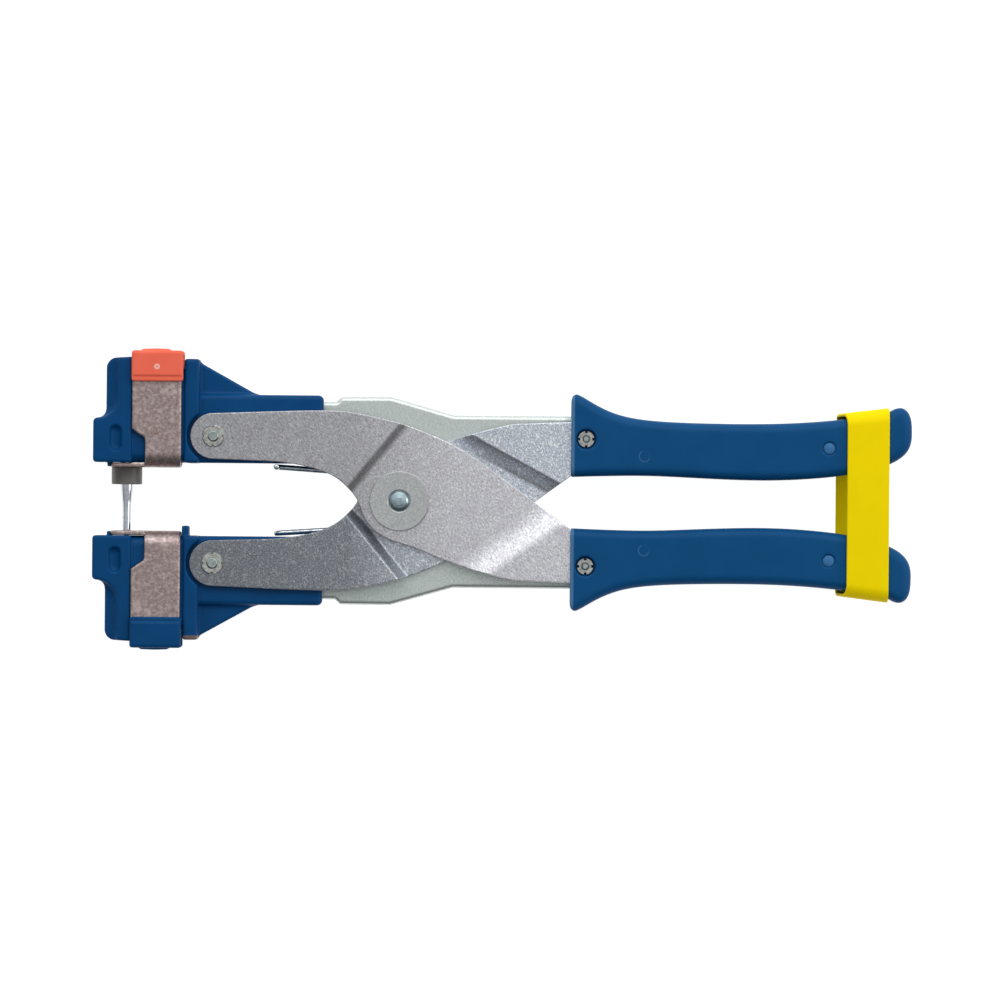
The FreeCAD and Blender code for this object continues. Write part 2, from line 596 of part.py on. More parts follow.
def cap():
    x0, x1 = -120.2, -103.35
    zi = STIRRUP_Z + STIRRUP_T
    outer = section_x([(CAP_LOW_Y, -13.3), (40.2, -13.3), (40.2, -CAP_Z), (CAP_TOP_Y, -CAP_Z),
                       (CAP_TOP_Y, CAP_Z), (40.2, CAP_Z), (40.2, 13.3), (CAP_LOW_Y, 13.3)],
                      [0, 0, 0.25, 1.4, 1.4, 0.25, 0, 0], x0, x1)
    bulge = plate([(-117.4, 47.0), (-107.2, 47.0), (-107.9, 49.05), (-116.7, 49.05)], -10.5, 10.5, [0, 0, 0.8, 0.8])
    inner = block(x0 - 1, x1 + 1, CAP_LOW_Y - 5, ROOF_Y, -zi, zi)
    return less(join(outer, bulge), inner)


upper_stirrup = stirrup(2.3)
lower_stirrup = mirrored(stirrup(2.5))
upper_button = cap()
lower_button = mirrored(upper_button)
ejector_collar = turned_y(PIN_X, [(2.3, CLAMP_Y), (5.0, CLAMP_Y), (5.0, 5.0), (4.7, 4.7), (2.55, 4.7), (2.3, 4.95)])


# ---- strap --------------------------------------------------------------------------------
def strap():
    x0, x1 = 112.6, 126.4
    y0, y1 = 30.0, 31.7          # half width outside, at its two edges
    t, r = 1.1, 3.2
    rise = (y1 - y0) / (x1 - x0)

    def ring(a, b, ya, yb, z, rr):
        body = plate([(a, -ya), (b, -yb), (b, yb), (a, ya)], -z, z)
        return softened(body, rr, lambda e: e.BoundBox.XLength > 10 and abs(abs(e.BoundBox.Center.z) - z) < 0.01)
    outer = ring(x0, x1, y0, y1, STRAP_Z, r)
    inner = ring(x0 - 1, x1 + 1, 28.8 - rise, 30.5 + rise, STRAP_Z - t, r - t + 0.2)
    return less(outer, inner)


handle_strap = strap()

# ---- the nodes ------------------------------------------------------------------------------
NODES = {
    "lower_handle_front_plate": lower_handle_front_plate,
    "lower_handle_rear_plate": lower_handle_rear_plate,
    "lower_grip": lower_grip,
    "lower_grip_pin": lower_grip_pin,
    "lower_slide_pin": lower_slide_pin,
    "lower_slide_pin_retainers": lower_slide_pin_retainers,
    "upper_jaw_pin": upper_jaw_pin,
    "upper_jaw_pin_retainers": upper_jaw_pin_retainers,
    "pivot_rivet": pivot_rivet,
    "front_pivot_washer": front_pivot_washer,
    "rear_pivot_washer": rear_pivot_washer,
    "pivot_spacer_bush": pivot_spacer_bush,
    "return_spring": return_spring,
    "handle_strap": handle_strap,
    "upper_handle_front_plate": upper_handle_front_plate,
    "upper_handle_rear_plate": upper_handle_rear_plate,
    "upper_grip": upper_grip,
    "upper_grip_pin": upper_grip_pin,
    "upper_slide_pin": upper_slide_pin,
    "upper_slide_pin_retainers": upper_slide_pin_retainers,
    "lower_jaw_pin": lower_jaw_pin,
    "lower_jaw_pin_retainers": lower_jaw_pin_retainers,
    "upper_jaw_channel": upper_jaw_channel,
    "upper_jaw_bush": upper_jaw_bush,
    "upper_head": upper_head,
    "applicator_pin": applicator_pin,
    "upper_clamp_spring": upper_clamp_spring,
    "lower_jaw_channel": lower_jaw_channel,
    "lower_jaw_bush": lower_jaw_bush,
    "lower_head": lower_head,
    "anvil_insert": anvil_insert,
    "lower_clamp_spring": lower_clamp_spring,
    "upper_stirrup": upper_stirrup,
    "ejector_collar": ejector_collar,
    "upper_button": upper_button,
    "lower_stirrup": lower_stirrup,
    "lower_button": lower_button,
}

os.makedirs("parts", exist_ok=True)
whole = None
for name, shape in NODES.items():
    shape.translate(V(SET_X, 0, CAP_Z))
    bad = [s for s in shape.Solids if not s.isValid()]
    print("%-28s solids %d volume %8.1f %s" % (name, len(shape.Solids), shape.Volume,
                                             "INVALID" if bad or not shape.Solids else ""))
    box = shape.BoundBox
    whole = FreeCAD.BoundBox(box) if whole is None else whole.united(box)
    shape.exportStep("parts/%s.step" % name)
print("box", [round(n, 3) for n in (whole.XMin, whole.XMax, whole.YMin, whole.YMax, whole.ZMin, whole.ZMax)])
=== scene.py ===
import bpy
import bmesh
import json
import math
import numpy as np
from mathutils import Vector, Matrix
from mathutils.geometry import tessellate_polygon


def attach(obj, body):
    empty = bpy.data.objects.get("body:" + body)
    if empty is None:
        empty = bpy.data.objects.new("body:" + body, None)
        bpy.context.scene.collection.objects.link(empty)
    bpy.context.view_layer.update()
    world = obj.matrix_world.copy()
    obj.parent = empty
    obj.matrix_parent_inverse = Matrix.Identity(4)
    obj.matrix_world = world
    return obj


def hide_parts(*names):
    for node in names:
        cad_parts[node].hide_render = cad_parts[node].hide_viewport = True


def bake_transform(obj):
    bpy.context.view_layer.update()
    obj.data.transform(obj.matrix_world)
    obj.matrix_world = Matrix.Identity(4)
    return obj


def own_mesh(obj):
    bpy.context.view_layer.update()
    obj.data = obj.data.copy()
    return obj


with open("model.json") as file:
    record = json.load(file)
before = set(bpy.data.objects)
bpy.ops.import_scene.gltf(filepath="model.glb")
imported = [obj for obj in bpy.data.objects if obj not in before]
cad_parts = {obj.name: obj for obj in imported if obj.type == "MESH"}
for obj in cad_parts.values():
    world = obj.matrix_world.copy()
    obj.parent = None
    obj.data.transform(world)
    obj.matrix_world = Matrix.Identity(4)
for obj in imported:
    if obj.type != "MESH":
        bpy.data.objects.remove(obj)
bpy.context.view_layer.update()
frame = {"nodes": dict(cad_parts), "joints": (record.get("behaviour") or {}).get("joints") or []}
scene = bpy.context.scene
NODES = frame["nodes"]
JOINTS = {j["name"]: j for j in frame["joints"]}

# Everything below is drawn in millimetres about the tool's own middle plane,
# and set into the frame from where the CAD puts the main pivot.
MM = 0.001
_pivot = JOINTS["handle_pivot"]["pos_m"]
PIVOT_X = -32.8
SX = _pivot[0] * 1000 - PIVOT_X
Z0 = _pivot[2] * 1000
C = np.array([PIVOT_X, 0.0])
P = np.array([-93.5, 20.7])
Q = np.array([27.9, 20.7])


# =====================================================================================
# mesh tools
# =====================================================================================
def to_frame(v):
    v = np.asarray(v, float)
    return np.column_stack([(v[:, 0] + SX) * MM, v[:, 1] * MM, (v[:, 2] + Z0) * MM])


def make(name, verts, faces, mat, body, replaces=(), angle=38.0, weighted=True,
         smooth=0, ratio=None, flip=False):
    """A mesh piece from millimetre points, riding on a body."""
    me = bpy.data.meshes.new(name)
    if flip:
        faces = [tuple(reversed(f)) for f in faces]
    me.from_pydata(to_frame(verts).tolist(), [], [tuple(int(i) for i in f) for f in faces])
    me.validate()
    bm = bmesh.new()
    bm.from_mesh(me)
    bmesh.ops.recalc_face_normals(bm, faces=bm.faces)
    bm.to_mesh(me)
    bm.free()
    me.update()
    ob = bpy.data.objects.new(name, me)
    scene.collection.objects.link(ob)
    if smooth:
        m = ob.modifiers.new("s", "SMOOTH")
        m.factor, m.iterations = 0.5, smooth
    if ratio:
        m = ob.modifiers.new("d", "DECIMATE")
        m.ratio = ratio
    if smooth or ratio:
        bake_modifiers(ob)
    finish_mesh(ob, angle, weighted)
    ob.data.materials.clear()
    ob.data.materials.append(mat)
    if isinstance(body, str):
        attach(ob, body)
    if replaces:
        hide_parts(*replaces)
    return ob


def bake_modifiers(ob):
    bpy.context.view_layer.update()
    dg = bpy.context.evaluated_depsgraph_get()
    new = bpy.data.meshes.new_from_object(ob.evaluated_get(dg))
    old = ob.data
    ob.modifiers.clear()
    ob.data = new
    bpy.data.meshes.remove(old)


def finish_mesh(ob, angle=38.0, weighted=True):
    me = ob.data
    me.polygons.foreach_set("use_smooth", [True] * len(me.polygons))
    me.set_sharp_from_angle(angle=math.radians(angle))
    if weighted:
        m = ob.modifiers.new("normals", "WEIGHTED_NORMAL")
        m.keep_sharp = True
        m.weight = 60


def loft(rings, cap0=True, cap1=True, closed=True):
    """Faces over a list of equal rings; returns (verts, faces)."""
    n = len(rings[0])
    verts = np.concatenate([np.asarray(r, float) for r in rings])
    faces = []
    for k in range(len(rings) - 1):
        a, b = k * n, (k + 1) * n
        for i in range(n if closed else n - 1):
            j = (i + 1) % n
            faces.append((a + i, a + j, b + j, b + i))
    if cap0:
        faces.append(tuple(range(n - 1, -1, -1)))
    if cap1:
        b = (len(rings) - 1) * n
        faces.append(tuple(b + i for i in range(n)))
    return verts, faces


def lathe_y(x, profile, seg=48, z=0.0):
    """Turned about a line along Y; profile is (radius, y), from one end to the other."""
    rings = []
    for r, y in profile:
        r = max(r, 1e-4)
        t = np.arange(seg) / seg * 2 * math.pi
        rings.append(np.column_stack([x + r * np.cos(t), np.full(seg, y), z + r * np.sin(t)]))
    return loft(rings)


def lathe_z(p, profile, seg=64):
    rings = []
    for r, z in profile:
        r = max(r, 1e-4)
        t = np.arange(seg) / seg * 2 * math.pi
        rings.append(np.column_stack([p[0] + r * np.cos(t), p[1] + r * np.sin(t), np.full(seg, z)]))
    return loft(rings)


def frames(path, closed=False):
    """Parallel frames along a path: tangents and two normals."""
    p = np.asarray(path, float)
    t = np.gradient(p, axis=0)
    t /= np.linalg.norm(t, axis=1)[:, None]
    a = np.array([0, 0, 1.0]) if abs(t[0, 2]) < 0.9 else np.array([1.0, 0, 0])
    u = np.cross(t[0], a)
    u /= np.linalg.norm(u)
    us = [u]
    for k in range(1, len(p)):
        u = us[-1] - t[k] * np.dot(us[-1], t[k])
        u /= np.linalg.norm(u)
        us.append(u)
    us = np.array(us)
    return t, us, np.cross(t, us)


def tube(path, r, seg=12, round_ends=True):
    p = np.asarray(path, float)
    t, u, w = frames(p)
    a = np.arange(seg) / seg * 2 * math.pi
    rings = []
    if round_ends:
        for k in (3, 2, 1):
            f = k / 3 * math.pi / 2
            rings.append(p[0] - t[0] * r * 0.35 * math.sin(f) + max(math.cos(f), 1e-3) * r * (
                np.cos(a)[:, None] * u[0] + np.sin(a)[:, None] * w[0]))
    for k in range(len(p)):
        rings.append(p[k] + r * (np.cos(a)[:, None] * u[k] + np.sin(a)[:, None] * w[k]))
    if round_ends:
        for k in (1, 2, 3):
            f = k / 3 * math.pi / 2
            rings.append(p[-1] + t[-1] * r * 0.35 * math.sin(f) + max(math.cos(f), 1e-3) * r * (
                np.cos(a)[:, None] * u[-1] + np.sin(a)[:, None] * w[-1]))
    return loft(rings)


def mirror(v, y=False, z=False):
    v = np.array(v, float)
    if y:
        v[:, 1] *= -1
    if z:
        v[:, 2] *= -1
    return v


# ---- curves ---------------------------------------------------------------------------
def spline(points, start=None, end=None, step=0.8):
    """A clamped cubic through the points, sampled every step."""
    p = np.asarray(points, float)
    d = np.linalg.norm(np.diff(p, axis=0), axis=1)
    n = len(p)
    a = np.zeros((n, n))
    b = np.zeros((n, 2))
    for i in range(1, n - 1):
        a[i, i - 1], a[i, i], a[i, i + 1] = d[i], 2 * (d[i - 1] + d[i]), d[i - 1]
        b[i] = 3 * (d[i] * (p[i] - p[i - 1]) / d[i - 1] + d[i - 1] * (p[i + 1] - p[i]) / d[i])
    for i, given in ((0, start), (n - 1, end)):
        a[i, i] = 1
        if given is not None:
            g = np.asarray(given, float)
            b[i] = g / np.linalg.norm(g)
        else:
            j = 1 if i == 0 else n - 2
            b[i] = (p[j] - p[i]) / np.linalg.norm(p[j] - p[i]) * (1 if i == 0 else -1)
    m = np.linalg.solve(a, b)
    out = []
    for i in range(n - 1):
        k = max(2, int(math.ceil(d[i] / step)))
        s = np.arange(k) / k
        h = d[i]
        out.append((2 * s**3 - 3 * s**2 + 1)[:, None] * p[i] + ((s**3 - 2 * s**2 + s) * h)[:, None] * m[i]
                   + (-2 * s**3 + 3 * s**2)[:, None] * p[i + 1] + ((s**3 - s**2) * h)[:, None] * m[i + 1])
    out.append(p[-1:])
    return np.concatenate(out)


def closed_spline(points, step=0.8):
    p = np.asarray(points, float)
    wrap = 4
    q = np.concatenate([p[-wrap:], p, p[:wrap]])
    full = spline(q, step=step)
    # keep one turn: from p[0] to the next p[0]
    d0 = np.argmin(np.linalg.norm(full[: len(full) // 2] - p[0], axis=1))
    d1 = len(full) // 2 + np.argmin(np.linalg.norm(full[len(full) // 2:] - p[0], axis=1))
    return full[d0:d1]


def arc3(a, m, b, n=12):
    """Points of the circle through a, m and b."""
    a, m, b = (np.asarray(q, float) for q in (a, m, b))
    d = 2 * (a[0] * (m[1] - b[1]) + m[0] * (b[1] - a[1]) + b[0] * (a[1] - m[1]))
    ux = ((a @ a) * (m[1] - b[1]) + (m @ m) * (b[1] - a[1]) + (b @ b) * (a[1] - m[1])) / d
    uy = ((a @ a) * (b[0] - m[0]) + (m @ m) * (a[0] - b[0]) + (b @ b) * (m[0] - a[0])) / d
    c = np.array([ux, uy])
    r = np.linalg.norm(a - c)
    ta, tm, tb = (math.atan2(*(q - c)[::-1]) for q in (a, m, b))
    if not ((tm - ta) % (2 * math.pi) <= (tb - ta) % (2 * math.pi)):
        sweep = -((ta - tb) % (2 * math.pi))
    else:
        sweep = (tb - ta) % (2 * math.pi)
    t = ta + sweep * np.arange(n + 1) / n
    return np.column_stack([c[0] + r * np.cos(t), c[1] + r * np.sin(t)])


def chain(*parts, tol=1e-3):
    out = []
    for part in parts:
        for q in np.asarray(part, float).reshape(-1, 2):
            if not out or np.linalg.norm(q - out[-1]) > tol:
                out.append(q)
    if np.linalg.norm(out[0] - out[-1]) < tol:
        out.pop()
    return np.array(out)


def area2(loop):
    x, y = loop[:, 0], loop[:, 1]
    return 0.5 * np.sum(x * np.roll(y, -1) - y * np.roll(x, -1))


def ccw(loop):
    return loop if area2(loop) > 0 else loop[::-1]


def inset(loop, d):
    """Loop moved to its left by d (into the material for a ccw outline or cw hole)."""
    a = loop - np.roll(loop, 1, axis=0)
    b = np.roll(loop, -1, axis=0) - loop
    a /= np.linalg.norm(a, axis=1)[:, None]
    b /= np.linalg.norm(b, axis=1)[:, None]
    na = np.column_stack([-a[:, 1], a[:, 0]])
    nb = np.column_stack([-b[:, 1], b[:, 0]])
    n = na + nb
    n /= np.linalg.norm(n, axis=1)[:, None]
    k = 1 / np.clip(np.sum(n * na, axis=1), 0.6, 1)
    return loop + n * (k * d)[:, None]


def circle(c, r, n=48):
    t = np.arange(n) / n * 2 * math.pi
    return np.column_stack([c[0] + r * np.cos(t), c[1] + r * np.sin(t)])


def slab(outer, holes, z0, z1, r, seg=3):
    """A plate with rounded edges; returns verts and faces."""
    loops = [ccw(np.asarray(outer, float))] + [ccw(np.asarray(h, float))[::-1] for h in holes]
    levels = []
    for k in range(seg + 1):
        a = k / seg * math.pi / 2
        levels.append((r * (1 - math.sin(a)), z0 + r * (1 - math.cos(a))))
    for k in range(seg + 1):
        a = k / seg * math.pi / 2
        levels.append((r * (1 - math.cos(a)), z1 - r + r * math.sin(a)))
    verts, faces, base = [], [], 0
    tops, bottoms = [], []
    for loop in loops:
        n = len(loop)
        for d, z in levels:
            q = inset(loop, d)
            verts.append(np.column_stack([q, np.full(n, z)]))
        for k in range(len(levels) - 1):
            a, b = base + k * n, base + (k + 1) * n
            for i in range(n):
                j = (i + 1) % n
                faces.append((a + i, a + j, b + j, b + i))
        bottoms.append((base, n))
        tops.append((base + (len(levels) - 1) * n, n))
        base += n * len(levels)
    verts = np.concatenate(verts)
    for ends, up in ((tops, True), (bottoms, False)):
        index = [s + i for s, n in ends for i in range(n)]
        polys = [[Vector(verts[s + i]) for i in range(n)] for s, n in ends]
        for tri in tessellate_polygon(polys):
            t = [index[i] for i in tri]
            a, b, c = verts[t[0], :2], verts[t[1], :2], verts[t[2], :2]
            cr = (b[0] - a[0]) * (c[1] - a[1]) - (b[1] - a[1]) * (c[0] - a[0])
            if (cr > 0) != up:
                t = t[::-1]
            faces.append(tuple(t))
    return verts, faces


# ---- shapes from distance fields --------------------------------------------------------
class Field:
    """A block of sample points; distances are negative inside."""

    def __init__(self, lo, hi, h):
        self.h = h
        self.lo = np.asarray(lo, float) - 2.5 * h
        n = np.ceil((np.asarray(hi, float) + 2.5 * h - self.lo) / h).astype(int) + 1
        ax = [(self.lo[k] + h * np.arange(n[k])).astype(np.float32) for k in range(3)]
        self.x = ax[0][:, None, None]
        self.y = ax[1][None, :, None]
        self.z = ax[2][None, None, :]

    def poly(self, pts):
        """Distance to a polygon in x and y."""
        return sd_poly(self.x[:, :, 0], self.y[:, :, 0], pts)[:, :, None]

    def mesh(self, v):
        v = np.broadcast_to(v, (self.x.shape[0], self.y.shape[1], self.z.shape[2]))
        return surface(np.ascontiguousarray(v), self.lo, self.h)


def sd_poly(x, y, pts):
    x, y = np.broadcast_arrays(x, y)
    pts = np.asarray(pts, float)
    d2 = np.full(x.shape, 1e9)
    inside = np.zeros(x.shape, bool)
    for a, b in zip(pts, np.roll(pts, -1, axis=0)):
        e = b - a
        l2 = e @ e
        if l2 < 1e-12:
            continue
        wx, wy = x - a[0], y - a[1]
        t = np.clip((wx * e[0] + wy * e[1]) / l2, 0, 1)
        d2 = np.minimum(d2, (wx - e[0] * t) ** 2 + (wy - e[1] * t) ** 2)
        cross = ((a[1] <= y) & (b[1] > y)) | ((a[1] > y) & (b[1] <= y))
        if abs(e[1]) > 1e-12:
            inside ^= cross & (x < e[0] * (y - a[1]) / e[1] + a[0])
    return (np.where(inside, -1, 1) * np.sqrt(d2)).astype(np.float32)


def cut(a, b, r):
    """Intersection of two distances with a rounded edge of radius r."""
    a, b = a + r, b + r
    return (np.minimum(np.maximum(a, b), 0) + np.sqrt(np.maximum(a, 0) ** 2 + np.maximum(b, 0) ** 2) - r)


def both(a, b):
    return np.maximum(a, b)


def either(*d):
    out = d[0]
    for e in d[1:]:
        out = np.minimum(out, e)
    return out


def merge(a, b, k):
    h = np.maximum(k - np.abs(a - b), 0) / k
    return np.minimum(a, b) - h * h * k * 0.25


def carve(a, b, k=0.0):
    return np.maximum(a, -b) if k <= 0 else -merge(-a, b, k)


def box2(x, y, x0, x1, y0, y1, r=0.0):
    dx = np.abs(x - (x0 + x1) / 2) - (x1 - x0) / 2 + r
    dy = np.abs(y - (y0 + y1) / 2) - (y1 - y0) / 2 + r
    return (np.minimum(np.maximum(dx, dy), 0) + np.sqrt(np.maximum(dx, 0) ** 2 + np.maximum(dy, 0) ** 2) - r)


def surface(v, lo, h):
    """Surface nets: one vertex in each cell that the surface crosses."""
    n = np.array(v.shape)
    cells = n - 1
    total = int(np.prod(cells))
    sums = np.zeros((3, total))
    count = np.zeros(total)
    strides = np.array([cells[1] * cells[2], cells[2], 1])
    quads = []
    for axis in range(3):
        a, b = [d for d in range(3) if d != axis]
        s0 = [slice(None)] * 3
        s1 = [slice(None)] * 3
        s0[axis], s1[axis] = slice(0, -1), slice(1, None)
        v0, v1 = v[tuple(s0)], v[tuple(s1)]
        idx = np.argwhere((v0 < 0) != (v1 < 0))
        if not len(idx):
            continue
        f0 = v0[tuple(idx.T)].astype(float)
        f1 = v1[tuple(idx.T)].astype(float)
        t = f0 / (f0 - f1)
        p = idx.astype(float)
        p[:, axis] += t
        ok = np.ones(len(idx), bool)
        ids = []
        for da, db in ((0, 0), (-1, 0), (-1, -1), (0, -1)):
            c = idx.copy()
            c[:, a] += da
            c[:, b] += db
            good = ((c >= 0) & (c < cells)).all(1)
            ok &= good
            flat = (np.clip(c, 0, cells - 1) * strides).sum(1)
            for k in range(3):
                sums[k] += np.bincount(flat[good], weights=p[good, k], minlength=total)
            count += np.bincount(flat[good], minlength=total)
            ids.append(flat)
        q = np.column_stack(ids)[ok]
        rev = (f0[ok] < 0) != (axis == 1)
        q[~rev] = q[~rev][:, ::-1]
        quads.append(q)
    used = np.nonzero(count > 0)[0]
    index = np.full(total, -1)
    index[used] = np.arange(len(used))
    verts = (sums[:, used] / count[used]).T * h + lo
    faces = index[np.concatenate(quads)]
    return verts, faces


# =====================================================================================
# materials
# =====================================================================================
def lin(r, g, b):
    """Linear colour of an 8-bit screen colour."""
    out = []
    for c in (r, g, b):
        c /= 255.0
        out.append(c / 12.92 if c <= 0.04045 else ((c + 0.055) / 1.055) ** 2.4)
    return (*out, 1.0)


class Mat:
    def __init__(self, name):
        self.mat = bpy.data.materials.new(name)
        self.mat.use_nodes = True
        self.t = self.mat.node_tree
        self.t.nodes.clear()
        self.out = self.t.nodes.new("ShaderNodeOutputMaterial")
        self.b = self.t.nodes.new("ShaderNodeBsdfPrincipled")
        self.t.links.new(self.b.outputs[0], self.out.inputs[0])
        self.coord = self.t.nodes.new("ShaderNodeTexCoord").outputs["Object"]
        self._xyz = None

    def set(self, **values):
        for k, v in values.items():
            self.b.inputs[k.replace("_", " ")].default_value = v
        return self

    def node(self, kind, **props):
        n = self.t.nodes.new(kind)
        for k, v in props.items():
            setattr(n, k, v)
        return n

    def link(self, a, b):
        self.t.links.new(a, b)

    def put(self, socket, value):
        if isinstance(value, (int, float)):
            socket.default_value = value
        elif isinstance(value, tuple):
            socket.default_value = value
        else:
            self.link(value, socket)

    def mapping(self, scale=(1, 1, 1), turn=0.0, move=(0, 0, 0)):
        """Coordinates turned about Z by some degrees, then scaled."""
        n = self.node("ShaderNodeMapping")
        n.vector_type = "TEXTURE"
        n.inputs["Rotation"].default_value = (0, 0, math.radians(turn))
        n.inputs["Location"].default_value = move
        n.inputs["Scale"].default_value = tuple(1.0 / s for s in scale)
        self.link(self.coord, n.inputs["Vector"])
        return n.outputs[0]

    def noise(self, scale, detail=3.0, rough=0.6, vector=None, distort=0.0):
        """Noise; scale is in features per metre."""
        n = self.node("ShaderNodeTexNoise")
        n.inputs["Scale"].default_value = scale
        n.inputs["Detail"].default_value = detail
        n.inputs["Roughness"].default_value = rough
        n.inputs["Distortion"].default_value = distort
        self.link(vector if vector is not None else self.coord, n.inputs["Vector"])
        return n.outputs[0]

    def voronoi(self, scale, feature="F1", vector=None, out="Color", randomness=1.0):
        n = self.node("ShaderNodeTexVoronoi", feature=feature)
        n.inputs["Scale"].default_value = scale
        n.inputs["Randomness"].default_value = randomness
        self.link(vector if vector is not None else self.coord, n.inputs["Vector"])
        return n.outputs[out]

    def math(self, op, a, b=0.0, c=0.0, clamp=False):
        n = self.node("ShaderNodeMath", operation=op)
        n.use_clamp = clamp
        for s, v in zip(n.inputs, (a, b, c)):
            self.put(s, v)
        return n.outputs[0]

    def remap(self, v, a, b, c=0.0, d=1.0, kind="SMOOTHSTEP"):
        n = self.node("ShaderNodeMapRange", interpolation_type=kind)
        self.link(v, n.inputs["Value"])
        for k, x in (("From Min", a), ("From Max", b), ("To Min", c), ("To Max", d)):
            n.inputs[k].default_value = x
        return n.outputs[0]

    def ramp(self, v, *stops):
        n = self.node("ShaderNodeValToRGB")
        e = n.color_ramp.elements
        while len(e) < len(stops):
            e.new(0.5)
        for el, (pos, col) in zip(e, stops):
            el.position = pos
            el.color = col if len(col) == 4 else (*col, 1.0)
        self.link(v, n.inputs[0])
        return n.outputs[0]

    def mix(self, f, a, b, kind="MIX"):
        n = self.node("ShaderNodeMix", data_type="RGBA", blend_type=kind)
        n.clamp_result = False
        self.put(n.inputs[0], f)
        self.put(n.inputs[6], a)
        self.put(n.inputs[7], b)
        return n.outputs[2]

    def bump(self, height, strength, distance, normal=None):
        n = self.node("ShaderNodeBump")
        n.inputs["Strength"].default_value = strength
        n.inputs["Distance"].default_value = distance
        self.link(height, n.inputs["Height"])
        if normal is not None:
            self.link(normal, n.inputs["Normal"])
        return n.outputs[0]

    def xyz(self):
        """x, y, z in millimetres about the tool's middle plane."""
        if self._xyz is None:
            n = self.node("ShaderNodeSeparateXYZ")
            self.link(self.coord, n.inputs[0])
            self._xyz = (self.math("MULTIPLY_ADD", n.outputs[0], 1000.0, -SX),
                         self.math("MULTIPLY", n.outputs[1], 1000.0),
                         self.math("MULTIPLY_ADD", n.outputs[2], 1000.0, -Z0))
        return self._xyz

    def ring(self, cx, cy, r, w):
        """1 on a ring drawn at that place, 0 elsewhere."""
        x, y, _ = self.xyz()
        dx, dy = self.math("SUBTRACT", x, cx), self.math("SUBTRACT", y, cy)
        d = self.math("SQRT", self.math("ADD", self.math("MULTIPLY", dx, dx), self.math("MULTIPLY", dy, dy)))
        return self.remap(self.math("ABSOLUTE", self.math("SUBTRACT", d, r)), w * 0.4, w, 1.0, 0.0)

    def worn(self, radius=0.0007, samples=8):
        n = self.node("ShaderNodeBevel", samples=samples)
        n.inputs["Radius"].default_value = radius
        return n.outputs[0]


def zinc(name, dark, mid, light, rough=(0.30, 0.46), turn=38.0, stretch=3.0, fine=2300.0, sparkle=0.3,
         bump=0.25, metal=0.92, cloud=None, contrast=1.0, along=None):
    """Zinc-plated sheet: a fine mottle with short scratches and small bright flakes, and, where a ramp is given along
    x, painted light that darkens or brightens the sheet by where it lies.
    """
    m = Mat(name)
    m.set(Metallic=metal)
    v = m.mapping((stretch, 1.0, 1.0), turn)
    n1 = m.noise(fine / stretch * 1.2, 4.0, 0.68, v)
    n2 = m.noise(fine * 0.9, 3.0, 0.6)
    n3 = m.noise(150.0, 2.0, 0.5)
    mott = m.math("ADD", m.math("MULTIPLY", n1, 0.55), m.math("MULTIPLY", n2, 0.45))
    w = 0.16 / contrast
    base = m.ramp(m.remap(mott, 0.5 - w, 0.5 + w, 0.0, 1.0, "LINEAR"), (0.0, dark), (0.5, mid), (1.0, light))
    if cloud is not None:
        base = m.mix(m.remap(n3, 0.35, 0.65, 0.0, 0.55), base, cloud, "MULTIPLY")
    cell = m.voronoi(fine * 0.62, vector=m.mapping((1.6, 1.0, 1.0), turn))
    sep = m.node("ShaderNodeSeparateColor")
    m.link(cell, sep.inputs[0])
    flake = m.remap(sep.outputs[0], 0.80, 0.98, 0.0, sparkle)
    base = m.mix(flake, base, tuple(min(1.0, c * 1.35) for c in light[:3]) + (1.0,))
    # painted light: the along ramp multiplies the base colour by a factor set by x, standing in for the light falling
    # off from right to left across the tool
    if along is not None:
        x = m.remap(m.xyz()[0], -130.0, 130.0, 0.0, 1.0, "LINEAR")
        base = m.mix(1.0, base, m.ramp(x, *[((p + 130.0) / 260.0, (c, c, c)) for p, c in along]), "MULTIPLY")
    m.link(base, m.b.inputs["Base Color"])
    r = m.remap(mott, 0.35, 0.65, rough[1], rough[0], "LINEAR")
    m.link(r, m.b.inputs["Roughness"])
    m.link(m.bump(m.math("ADD", mott, m.math("MULTIPLY", sep.outputs[1], 0.35)), bump, 0.00012), m.b.inputs["Normal"])
    return m.mat


def plastic(name, colour, deep, rough=0.45, spec=0.10, grain=2600.0, bump=0.12, extra=None, scuff=0.25):
    """Moulded plastic: fine texture, faint colour drift and a few light scuffs."""
    m = Mat(name)
    m.set(**{"Specular IOR Level": spec})
    n1 = m.noise(90.0, 2.0, 0.5)
    n2 = m.noise(grain, 2.0, 0.5)
    n3 = m.noise(420.0, 5.0, 0.72, m.mapping((5.0, 1.0, 1.0), 18.0))
    base = m.mix(m.remap(n1, 0.35, 0.65, 0.0, 1.0), deep, colour)
    marks = m.remap(n3, 0.70, 0.80, 0.0, scuff)
    base = m.mix(marks, base, tuple(min(1.0, c * 1.6 + 0.02) for c in colour[:3]) + (1.0,))
    height = m.math("MULTIPLY", n2, 0.5)
    if extra is not None:
        base, height = extra(m, base, height)
    m.link(base, m.b.inputs["Base Color"])
    m.link(m.remap(n2, 0.3, 0.7, rough - 0.05, rough + 0.08, "LINEAR"), m.b.inputs["Roughness"])
    m.link(m.bump(height, bump, 0.00010), m.b.inputs["Normal"])
    return m.mat


def steel(name, colour, dark, rough=0.22, scale=900.0, metal=1.0, bump=0.1):
    """Plain bright steel with slight unevenness."""
    m = Mat(name)
    m.set(Metallic=metal)
    n = m.noise(scale, 3.0, 0.6)
    m.link(m.mix(m.remap(n, 0.3, 0.7), dark, colour), m.b.inputs["Base Color"])
    m.link(m.remap(n, 0.3, 0.7, rough + 0.08, rough - 0.04, "LINEAR"), m.b.inputs["Roughness"])
    m.link(m.bump(n, bump, 0.00006), m.b.inputs["Normal"])
    return m.mat


